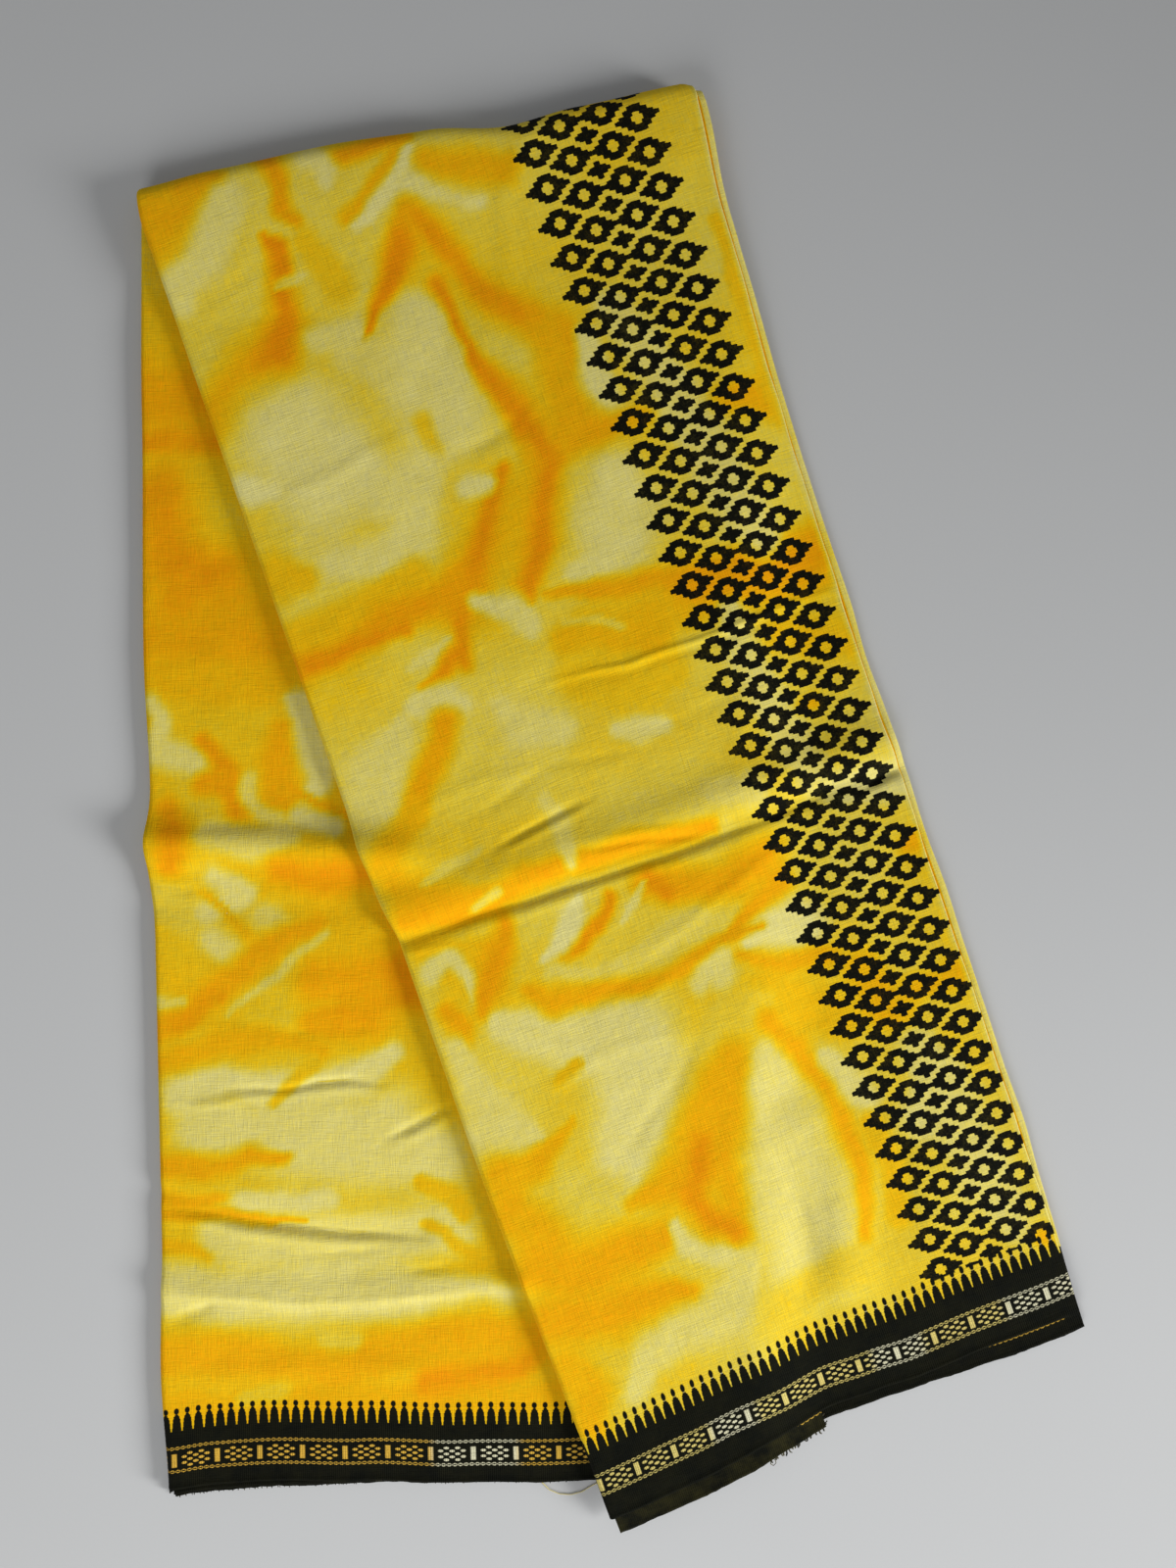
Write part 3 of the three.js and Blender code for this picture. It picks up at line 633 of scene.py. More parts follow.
def hiddenDye(a, v, seed):
    bent = a + streaks["bend"] * lumps(a, v, streaks["bendSize"], seed)
    streak = lumps(bent, v + streaks["slant"] * bent, streaks["size"], seed + 1)
    streak = streak + streaks["fine"] * lumps(bent, v, streaks["fineSize"], seed + 2)
    return streaks["middle"] + streaks["spread"] * np.clip(streak, *streaks["limits"])


def dyeLevel(face, leg, a, d):
    if face == "outer" and leg != "rear":
        return paintDye(frontStrokes, "front", a, d)
    if face == "plain" and leg == "rear":
        return paintDye(rearStrokes, "rear", a, d)
    return hiddenDye(a, d, dye["seed"][face])


print("fold, creases and dye worked out")


# Rows down a leg. Each is a share of the way from the top fold's round to where the border starts.
# A stretch of them is where it ends, from 0 to 1, and how far apart they are on a usual leg.
usualLeg = 550


def sharesOf(stretches):
    shares = [0.0]
    for end, spacing in stretches:
        start = shares[-1]
        count = max(1, round((end - start) * usualLeg / spacing))
        shares += [start + (end - start) * i / count for i in range(1, count + 1)]
    return np.array(shares)


def bodyRows(leg, shares):
    def at(along):
        end = flapLength(leg, along) - packet["border"]
        return fold["reach"] + shares[:, None] * (end - fold["reach"])

    return leg, at


# Rows from where a border starts to its hem. The last ones close up for the selvedge's rolled
# edge, and a ragged hem strays in long waves and in short ones.
hemRows = {
    "shown": 16,
    "hidden": 9,
    "evenTo": 0.94,
    "rolled": [0.958, 0.974, 0.988, 1.0],
    "waves": [(0.6, 13), (0.4, 2.6)],
    "seed": {"front": 61, "rear": 64},
}


def borderRows(leg, start, peek, count, ragged=0.0):
    shares = np.append(np.linspace(0, hemRows["evenTo"], count), hemRows["rolled"])

    def at(along):
        seed = hemRows["seed"][leg]
        stray = sum(height * lumps(along, 0 * along, size, seed) for height, size in hemRows["waves"])
        end = start + eased(hemPeek[peek], along) + ragged * stray
        return flapLength(leg, along) - start + shares[:, None] * end

    return leg, at


def roundRows(count):
    angles = np.linspace(-math.pi / 2, math.pi / 2, count + 1)[1:-1]

    def at(along):
        return angles[:, None] + 0 * along

    return "round", at


# A leaf's cross-section, as places along the strip and depths on its two faces. The left edge
# curls round to just short of the packet's middle, and the right edge is turned under.
turn = {"short": 0.1, "curlColumns": 6, "radius": 0.45, "under": 4.0, "columns": 5, "coarseStep": 7}


def leafSection(face, rightEdge, fineTo, fineStep):
    angles = np.linspace(math.asin(turn["short"] / curlRadius), math.pi / 2, turn["curlColumns"])
    centre = rightEdge - turn["radius"]
    flat = np.arange(curlRadius + fineStep, fineTo, fineStep)
    coarse = np.linspace(fineTo, centre, max(2, round((centre - fineTo) / turn["coarseStep"])))
    turnAngles = np.linspace(0, math.pi, turn["columns"])[1:]
    faces = []
    for offset in (0, packet["cloth"]):
        radius = curlRadius - offset
        along = list(curlRadius - radius * np.cos(angles)) + list(flat) + list(coarse)
        depth = list(curlRadius - radius * np.sin(angles)) + [offset] * (len(flat) + len(coarse))
        small = turn["radius"] - offset
        along += list(centre + small * np.sin(turnAngles))
        depth += list(turn["radius"] - small * np.cos(turnAngles))
        along += [centre - turn["under"] / 2, centre - turn["under"]]
        depth += [2 * turn["radius"] - offset] * 2
        depth = np.array(depth)
        faces.append((np.array(along), depth if face == "outer" else packet["thick"] - depth))
    return faces


# A hidden layer's border, as a flat strip.
strip = {"step": 1.6, "thick": 0.6}


def stripSection(start, rightEdge, depth):
    along = np.append(np.arange(start, rightEdge, strip["step"]), rightEdge)
    return [(along, np.full(len(along), deep)) for deep in (depth, depth + strip["thick"])]


# The stack of hidden folds. At the right three folded edges show, the middle one set back behind
# a groove, and the stack's top is sunk a little there. At the left it ends in a blunt wedge.
stack = {
    "folds": 3,
    "setBack": 1.0,
    "groove": 1.9,
    "grooveHalf": 0.02,
    "sunk": 0.35,
    "sunkSteps": [5, 3.9, 3.0, 2.4, 1.4],  # in from the right edge
    "flat": (1.2, 9, 18),  # in from the left end and from the right edge, and its columns
    "roundColumns": 7,
}


def stackSection():
    top = leafRoom
    bottom = packet["thick"] - top
    middle = (top + bottom) / 2
    layer = (bottom - top) / stack["folds"]
    half = layer / 2
    edge = fold["length"]
    sunk, slit = stack["sunk"], stack["grooveHalf"]
    flatFrom, flatTo, columns = stack["flat"]
    flat = list(np.linspace(top + flatFrom, edge - flatTo, columns))
    steps = [edge - back for back in stack["sunkSteps"]]
    angles = np.linspace(0, math.pi, stack["roundColumns"])[1:]
    along = [top, top + 0.3] + flat + steps + list(edge - half + half * np.sin(angles))
    inset = [middle - top - 0.1, 0.3 * layer] + [0] * len(flat) + [sunk] * len(steps)
    inset += list(sunk + (1 - sunk / layer) * (half - half * np.cos(angles)))
    groove, tip = edge - stack["groove"], edge - stack["setBack"]
    along += [groove, groove, tip - half, tip - 0.1, tip]
    inset += [layer - slit, layer + slit, layer + slit, layer + 0.55 * half, layer + 0.95 * half]
    along, inset = np.array(along), np.array(inset)
    return [(along, top + inset), (along, bottom - inset)]


# The front borders' pattern isn't quite parallel to their hems. How far it lies above its usual
# place: it climbs at the left of the printed hem and of the end panel, and lies lower on the
# layers that peek out. At the second leaf's right edge the black reaches higher.
drift = {
    "climb": 3.3,
    "flush": (60, 50),  # where a hem's climb ends, and within how far
    "endPanel": (84, 12),
    "peeking": 0.8,
    "edgeFrom": 247,  # along the fold
    "edgeWithin": 1.0,
    "blackFrom": 22,
    "blackClimb": 11,
    "plainFrom": 8.8,
    "plainWithin": 0.8,
}


def atSecondEdge(along):
    return smooth((along - drift["edgeFrom"]) / drift["edgeWithin"])


def patternDrift(face, leg, along, a, fromHem, peek):
    if leg != "front" or face != "outer":
        return 0 * fromHem
    if peek == "secondLeaf":
        climb = np.clip(fromHem - drift["blackFrom"], 0, drift["blackClimb"])
        return climb * atSecondEdge(along) - drift["peeking"]
    start, within = drift[peek]
    climb = drift["climb"] * (1 - smooth((a - start) / within))
    return climb - drift["peeking"] if peek == "endPanel" else climb


# Where a point of the cloth lies in its own leaf: across, down and from the hem. This much of a
# leaf goes over the round, and the round is out of reach of the borders' patterns.
overFold = 25.0
farFromHem = 300.0


def clothPlace(face, leg, along, at, x, y, peek):
    a, d = inFlap("rear" if leg == "rear" else "front", x, y)
    if leg == "round":
        _, dFront = inFlap("front", *plan("front", along, fold["reach"]))
        share = (at + math.pi / 2) / math.pi
        return a, dFront - overFold * (1 - share), np.full(np.shape(a), farFromHem)
    fromHem = flapLength(leg, along) + eased(hemPeek[peek], along) - at
    if leg == "rear" and face == "outer":
        return a, 2 * fold["reach"] - overFold - d, fromHem
    return a, d, fromHem


# The dye is paler along the folded right edges. The step between them gets a deep tone, which is painted
# shade in the groove beside the printed leaf's edge. Places are how far in from the edge and within how far,
# and with them the share taken off or the painted shade's tone.
edgePaleAndShade = {"leaf": (1.2, 0.5, 0.75), "stack": (3.0, 0.6, 0.6), "step": (5, 1.0, 0.86), "stepShadeEnd": (3.0, 0.5)}


def paleEdgeAndGrooveShade(level, along, edge):
    if edge is None:
        return level

    def past(place):
        return smooth((along - edge + place[0]) / place[1])

    if edge == printedEdge:
        return level * (1 - edgePaleAndShade["leaf"][2] * past(edgePaleAndShade["leaf"]))
    level = level * (1 - edgePaleAndShade["stack"][2] * past(edgePaleAndShade["stack"]))
    # the step's deep tone is painted shade in the groove, not dye
    return level + (edgePaleAndShade["step"][2] - level) * (past(edgePaleAndShade["step"]) * (1 - past(edgePaleAndShade["stepShadeEnd"])))


# The two faces of a section that is swept along rows, with all that the mesh needs of each point:
# its place, its place in its leaf, how deeply it is dyed and how pale the bright threads are.
paleBlend = 3


def sweep(section, rows, face, peek="flush", sway=None, edge=None):
    faces = []
    for along, depth in section:
        parts = []
        for leg, atOf in rows:
            at = atOf(along)
            wide = np.broadcast_to(along, at.shape)
            if sway is not None:
                wide = wide + sway(along, at, leg)
            deep = np.broadcast_to(depth, at.shape)
            x, y, z = packetPoint(leg, wide, at, deep)
            a, v, fromHem = clothPlace(face, leg, wide, at, x, y, peek)
            if (leg == "front") == (face == "outer"):
                z = z + selvedgeRise(fromHem)
            upOnHem = smooth((fromHem - drift["plainFrom"]) / drift["plainWithin"])
            fromHem = fromHem - patternDrift(face, leg, wide, a, fromHem, peek)
            dyeDown = inFlap("rear" if leg == "rear" else "front", x, y)[1]
            level = dyeLevel(face, leg, a, dyeDown if face == "plain" or leg != "rear" else v)
            level = paleEdgeAndGrooveShade(level, np.broadcast_to(along, at.shape), edge)
            pale = np.zeros(np.shape(a))
            for start, end in paleThreads["front" if face == "outer" else "rear"]:
                inside = smooth((a - start + paleBlend) / (2 * paleBlend))
                inside = inside * smooth((end + paleBlend - a) / (2 * paleBlend))
                pale = np.maximum(pale, inside)
            if peek == "secondLeaf":
                # beside the printed hem this layer's edge is plain black: below 0 none is bright
                pale = -2 * (atSecondEdge(wide) * upOnHem)
            parts.append(np.stack([x, y, z, a, v, fromHem, level, pale], axis=-1))
        faces.append(np.concatenate(parts))
    return faces


# The fold frame is set on the part by the corner of a hem that both have.
def foldStartFromFrame():
    section = leafSection("outer", printedEdge, 20, 4)
    rows = [borderRows("rear", packet["border"], "rearThird", 3)]
    (grid, _) = sweep(section, rows, "outer", "rearThird")
    low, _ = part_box("rear_under_border")
    return low.x / mm - grid[..., 0].min(), low.y / mm - grid[..., 1].min()


def inScene(name, data):
    holder = bpy.data.objects.new(name, data)
    bpy.context.scene.collection.objects.link(holder)
    return holder


foldStart = foldStartFromFrame()
print("fold starts at", [round(v, 2) for v in foldStart])


# Edges that bend by more than this are shaded sharp.
smoothAngle = math.radians(65)


# One closed mesh from the grids of its two faces.
def clothMesh(name, faces, material):
    outer, inner = faces
    rows, columns = outer.shape[:2]
    points = np.concatenate([outer.reshape(-1, 8), inner.reshape(-1, 8)])
    index = np.arange(rows * columns).reshape(rows, columns)
    under = index + rows * columns

    def quads(a, b, c, d):
        return np.stack([part.ravel() for part in (a, b, c, d)], axis=-1)

    faceList = [
        quads(index[:-1, :-1], index[:-1, 1:], index[1:, 1:], index[1:, :-1]),
        quads(under[:-1, :-1], under[1:, :-1], under[1:, 1:], under[:-1, 1:]),
        quads(index[:-1, 0], index[1:, 0], under[1:, 0], under[:-1, 0]),
        quads(index[:-1, -1], under[:-1, -1], under[1:, -1], index[1:, -1]),
        quads(index[0, :-1], under[0, :-1], under[0, 1:], index[0, 1:]),
        quads(index[-1, :-1], index[-1, 1:], under[-1, 1:], under[-1, :-1]),
    ]
    quadList = np.concatenate(faceList)
    spots = points[:, :3].copy()
    spots[:, 0] += foldStart[0]
    spots[:, 1] += foldStart[1]
    spots *= mm
    p0, p1, p2, p3 = (spots[quadList[:, i]] for i in range(4))
    volume = np.einsum("ij,ij->i", p0, np.cross(p1, p2) + np.cross(p2, p3)).sum()
    if volume < 0:
        quadList = quadList[:, ::-1]
    mesh = bpy.data.meshes.new(name)
    mesh.vertices.add(len(spots))
    mesh.vertices.foreach_set("co", spots.ravel())
    mesh.loops.add(quadList.size)
    mesh.loops.foreach_set("vertex_index", quadList.ravel().astype(np.int32))
    mesh.polygons.add(len(quadList))
    mesh.polygons.foreach_set("loop_start", np.arange(0, quadList.size, 4, dtype=np.int32))
    mesh.polygons.foreach_set("use_smooth", np.ones(len(quadList), bool))
    mesh.update(calc_edges=True)
    mesh.validate()
    mesh.set_sharp_from_angle(angle=smoothAngle)
    place = mesh.attributes.new("clothPlace", "FLOAT_VECTOR", "POINT")
    place.data.foreach_set("vector", points[:, 3:6].astype(np.float32).ravel())
    for column, attribute in ((6, "dye"), (7, "paleThread")):
        layer = mesh.attributes.new(attribute, "FLOAT", "POINT")
        layer.data.foreach_set("value", points[:, column].astype(np.float32))
    flatMap = mesh.uv_layers.new(name="cloth")
    corners = points[quadList.ravel(), 3:5] * mm
    flatMap.data.foreach_set("uv", corners.astype(np.float32).ravel())
    mesh.materials.append(material)
    return inScene(name, mesh)


# Numbers that a shader works out at each place, written as sums.
class Field:
    def __init__(self, tree, socket):
        self.tree = tree
        self.socket = socket

    def do(self, operation, *others):
        node = self.tree.nodes.new("ShaderNodeMath")
        node.operation = operation
        self.tree.links.new(self.socket, node.inputs[0])
        for slot, other in enumerate(others, 1):
            if isinstance(other, Field):
                self.tree.links.new(other.socket, node.inputs[slot])
            else:
                node.inputs[slot].default_value = other
        return Field(self.tree, node.outputs[0])

    def __add__(self, other):
        return self.do("ADD", other)

    def __sub__(self, other):
        return self.do("SUBTRACT", other)

    def __mul__(self, other):
        return self.do("MULTIPLY", other)

    def away(self, other=0.0):
        return (self - other).do("ABSOLUTE")

    def most(self, other):
        return self.do("MAXIMUM", other)

    def least(self, other):
        return self.do("MINIMUM", other)

    # 1 above zero and 0 below it, with an edge as soft as the width given
    def above(self, softness=0.3):
        node = self.do("MULTIPLY_ADD", 1 / softness, 0.5)
        node.socket.node.use_clamp = True
        return node

    # how far it is from the nearest multiple of a pitch
    def fromNearest(self, pitch):
        return ((self * (1 / pitch) + 0.5).do("FRACT") - 0.5) * pitch


def mostOf(fields):
    highest, *others = fields
    for other in others:
        highest = highest.most(other)
    return highest


def newGroup(name, inputs):
    tree = bpy.data.node_groups.new(name, "ShaderNodeTree")
    for label in inputs:
        tree.interface.new_socket(label, in_out="INPUT", socket_type="NodeSocketFloat")
    tree.interface.new_socket("Mask", in_out="OUTPUT", socket_type="NodeSocketFloat")
    start = tree.nodes.new("NodeGroupInput")
    end = tree.nodes.new("NodeGroupOutput")
    return tree, [Field(tree, start.outputs[label]) for label in inputs], end.inputs["Mask"]


def useGroup(tree, group, *fields):
    node = tree.nodes.new("ShaderNodeGroup")
    node.node_tree = group
    for slot, field in zip(node.inputs, fields):
        tree.links.new(field.socket, slot)
    return Field(tree, node.outputs["Mask"])


# How wide a stepped figure is to each side at some height: each step is how high it reaches and
# how far aside.
def steppedWidth(height, steps, softness):
    width = None
    lastReach = 0
    for top, reach in steps:
        step = (height * -1 + top).above(softness) * (reach - lastReach)
        width = step if width is None else width + step
        lastReach = reach
    return width


# The block print's two figures, in steps up and down from the middle. The lozenge has a hole.
printFigures = {
    "stepped lozenge": [(5.75, 3.4), (4.15, 5.7), (2.2, 8.1), (1.05, 10.3)],
    "small cross": [(3.7, 1.6), (1.85, 4.0), (0.95, 5.6)],
}
lozengeHole = [(2.5, 1.6), (1.1, 2.7)]
figureInset = 0.15


def figureGroup(name, hole=None):
    tree, (dx, dy), mask = newGroup(name, ["Across", "Down"])
    aside, height = dx.away(), dy.away()
    figure = (steppedWidth(height, printFigures[name], 0.25) - aside - figureInset).above(0.3)
    if hole:
        figure = figure * (aside - steppedWidth(height, hole, 0.25) + figureInset).above(0.3)
    tree.links.new(figure.socket, mask)
    return tree


# The block print: four columns of lozenges, every other one set half a row lower, and a column
# of small crosses between them. The rows close up a little towards the hem.
blockPrint = {
    "column": 170,  # millimetres across, where the first column starts
    "drift": 0.0106,  # how far it strays to the right for each millimetre down
    "firstRow": 46.5,
    "rowPitch": 15.6,
    "rowCloses": 0.0205,
    "rowHeight": 14.9,  # of the figures' own row, whatever the pitch
    "lozenges": [(0, 0), (14, 0.5), (33, 0.5), (47, 0)],  # millimetres from the first, and rows down
    "crosses": [(23.7, 0)],
}


def printMask(tree, across, down, ink):
    sizes = blockPrint
    pitch, closes = sizes["rowPitch"], sizes["rowCloses"]
    run = down - sizes["firstRow"]
    row = ((run * (-4 * closes) + pitch * pitch).do("SQRT") * -1 + pitch) * (1 / (2 * closes))
    column = across - sizes["column"] - run * sizes["drift"] + ink
    lozenge, cross = figureGroup("stepped lozenge", lozengeHole), figureGroup("small cross")
    figures = []
    for group, places in ((lozenge, sizes["lozenges"]), (cross, sizes["crosses"])):
        for offset, rowsDown in places:
            dy = (row - rowsDown).fromNearest(1) * sizes["rowHeight"] + ink
            figures.append(useGroup(tree, group, column - offset, dy))
    return mostOf(figures)


# The woven borders, measured up from the selvedge: each has two chains of bright thread, with bars
# and small lozenges of dashes between them, and black spires on its upper edge. A spire's steps
# are how high each reaches and how far to each side, and its knob is a half width, a height and a
# half height.
border = {
    "chainPitch": 2.5,
    "chainWave": 0.5,
    "strandHalf": 0.2,
    "links": (0.28, 0.72),  # how much a chain's brightness varies, and its middle
    "barHalf": 1.15,
    "dash": {"across": 5.0, "up": 2.6, "narrow": 0.86, "flat": 1.75},
    "dashesReach": [(2.0, 6.3), (3.3, 3.8)],  # up and aside, for each of their two sets
    "tieHalf": 0.16,
    "tieShare": 0.7,
    "stemHalf": 0.3,
    "front": {
        "black": 27.5, "chains": (8.7, 17.3), "boxMiddle": 13.0,
        "barHeight": 2.7, "barStart": 2.6, "barPitch": 17.8,
        "spirePitch": 4.6, "steps": [(7.0, 1.0), (6.1, 1.5), (4.9, 1.8), (3.2, 2.0), (1.2, 2.15)],
        "knob": (1.0, 8.9, 1.9), "tie": 7.1,
    },
    "rear": {
        "black": 25.7, "chains": (8.1, 18.2), "boxMiddle": 12.9,
        "barHeight": 2.9, "barStart": 3.5, "barPitch": 18.9,
        "spirePitch": 4.8, "steps": [(7.2, 0.9), (6.4, 1.45), (5.3, 1.8), (3.5, 2.0), (1.3, 2.2)],
        "knob": (1.15, 8.5, 1.4), "tie": None,
    },
}


def brightMask(across, fromHem, side):
    sizes = border[side]
    turns = across * (math.pi / border["chainPitch"])
    wave = turns.do("COSINE") * border["chainWave"]
    varies, middle = border["links"]
    links = (turns * 2).do("COSINE") * varies + middle
    bright = []
    for height in sizes["chains"]:
        for line in (fromHem - wave, fromHem + wave):
            bright.append((line.away(height) * -1 + border["strandHalf"]).above(0.25) * links)
    fromBar = (across - sizes["barStart"]).fromNearest(sizes["barPitch"]).away()
    level = fromHem - sizes["boxMiddle"]
    barTall = (level.away() * -1 + sizes["barHeight"]).above(0.3)
    bright.append((fromBar * -1 + border["barHalf"]).above(0.3) * barTall)
    fromMiddle = (across - sizes["barStart"] + sizes["barPitch"] / 2).fromNearest(sizes["barPitch"])
    dash = border["dash"]
    for isOdd, (up, aside) in enumerate(border["dashesReach"]):
        dx = (fromMiddle + dash["across"] / 2 * isOdd).fromNearest(dash["across"])
        dy = (level + dash["up"] / 2 * (1 - isOdd)).fromNearest(dash["up"])
        oval = ((dx * dash["narrow"]).do("POWER", 2) + (dy * dash["flat"]).do("POWER", 2)) * -1 + 1
        tall = (level.away() * -1 + up).above(0.4)
        reach = (fromMiddle.away() * -1 + aside).above(0.4)
        bright.append(oval.above(0.8) * tall * reach)
    if sizes["tie"]:
        # one pale thread runs through the spires
        fromTie = fromHem.away(sizes["black"] + sizes["tie"])
        bright.append((fromTie * -1 + border["tieHalf"]).above(0.3) * border["tieShare"])
    return mostOf(bright)


def blackMask(across, fromHem, side):
    sizes = border[side]
    ground = (fromHem * -1 + sizes["black"]).above(0.4)
    fromSpire = across.fromNearest(sizes["spirePitch"]).away()
    height = fromHem - sizes["black"]
    width = steppedWidth(height, sizes["steps"], 0.35)
    foot = (width - fromSpire - 0.08).above(0.3) * (height + 0.5).above(0.4)
    knobHalf, knobMiddle, knobTall = sizes["knob"]
    knobUp = (height - knobMiddle) * (1 / knobTall)
    knobOut = fromSpire * (1 / knobHalf)
    knob = (knobUp.do("POWER", 2) + knobOut.do("POWER", 2)) * -1 + 1
    stem = (fromSpire * -1 + border["stemHalf"]).above(0.3)
    stem = stem * (height * -1 + knobMiddle).above(0.4) * height.above(0.4)
    return mostOf([ground, foot, knob.above(0.6), stem])


def linear(red, green, blue):
    parts = [value / 255 for value in (red, green, blue)]
    return [v / 12.92 if v <= 0.04045 else ((v + 0.055) / 1.055) ** 2.4 for v in parts] + [1.0]


cloth = {
    "dyes": [
        (0.00, (224, 214, 136)), (0.16, (221, 206, 104)), (0.32, (222, 198, 60)), (0.50, (227, 188, 20)),
        (0.66, (232, 178, 4)), (0.82, (234, 162, 0)), (1.00, (228, 138, 0)),
    ],
    "print": (13, 13, 5),
    "black": (9, 11, 5),
    "rustyBlack": (38, 36, 14),
    "rust": {"worn": 0.9, "kept": 0.22},
    "threads": {"front": (210, 196, 124), "rear": (204, 162, 70)},
    "paleThread": (214, 210, 176),
    "threadsShown": 0.92,
    "roughness": 0.88,
    "sheen": 0.02,
    "sheenRoughness": 0.5,
    "gloss": 0.06,
    "threadPitch": 0.5,  # millimetres, between the threads that the weave's grain shows
    "threadRun": 0.09,  # how much slower a thread changes along its length
    "slubs": (1.1, 0.06),  # how fast the slubs change across a thread and along it
    "grain": 0.30,
    "slub": 0.19,
    "fleck": 0.08,
    "unevenDye": {"threads": 0.22, "clouds": 0.16, "flecks": 0.10},
    "ink": {"flecks": 0.4, "threads": 0.35},  # how far the print's and the border's edges stray
    "relief": {"threads": 0.23, "slubs": 0.13, "pucker": 0.42, "ribs": 0.10},
    "ribPitch": 0.9,
    "bump": 0.6,
}


class Shader:
    def __init__(self, name):
        self.material = bpy.data.materials.new(name)
        self.material.use_nodes = True
        self.tree = self.material.node_tree
        self.surface = self.tree.nodes["Principled BSDF"]

    def attribute(self, name):
        node = self.tree.nodes.new("ShaderNodeAttribute")
        node.attribute_name = name
        return node

    def noise(self, place, scale, detail=2.0, roughness=0.5):
        node = self.tree.nodes.new("ShaderNodeTexNoise")
        node.inputs["Scale"].default_value = scale
        node.inputs["Detail"].default_value = detail
        node.inputs["Roughness"].default_value = roughness
        self.tree.links.new(place, node.inputs["Vector"])
        return Field(self.tree, node.outputs["Fac"])

    def vector(self, x, y, z=0.0):
        node = self.tree.nodes.new("ShaderNodeCombineXYZ")
        for slot, value in zip(node.inputs, (x, y, z)):
            if isinstance(value, Field):
                self.tree.links.new(value.socket, slot)
            else:
                slot.default_value = value
        return node.outputs[0]

    def mix(self, share, first, second, blend="MIX"):
        node = self.tree.nodes.new("ShaderNodeMix")
        node.data_type = "RGBA"
        node.blend_type = blend
        if isinstance(share, Field):
            self.tree.links.new(share.socket, node.inputs["Factor"])
        else:
            node.inputs["Factor"].default_value = share
        for slot, value in ((node.inputs[6], first), (node.inputs[7], second)):
            if isinstance(value, list):
                slot.default_value = value
            else:
                self.tree.links.new(value, slot)
        return node.outputs[2]

    def ramp(self, value, stops):
        node = self.tree.nodes.new("ShaderNodeValToRGB")
        elements = node.color_ramp.elements
        while len(elements) < len(stops):
            elements.new(0.5)
        for element, (place, colour) in zip(elements, stops):
            element.position = place
            element.color = linear(*colour)
        self.tree.links.new(value.socket, node.inputs[0])
        return node.outputs[0]

    # the same brightness change on all of a colour
    def shaded(self, colour, share):
        return self.mix(1.0, colour, self.vector(share, share, share), "MULTIPLY")

    def bump(self, height, strength, distance):
        node = self.tree.nodes.new("ShaderNodeBump")
        node.inputs["Strength"].default_value = strength
        node.inputs["Distance"].default_value = distance * mm
        self.tree.links.new(height.socket, node.inputs["Height"])
        self.tree.links.new(node.outputs[0], self.surface.inputs["Normal"])


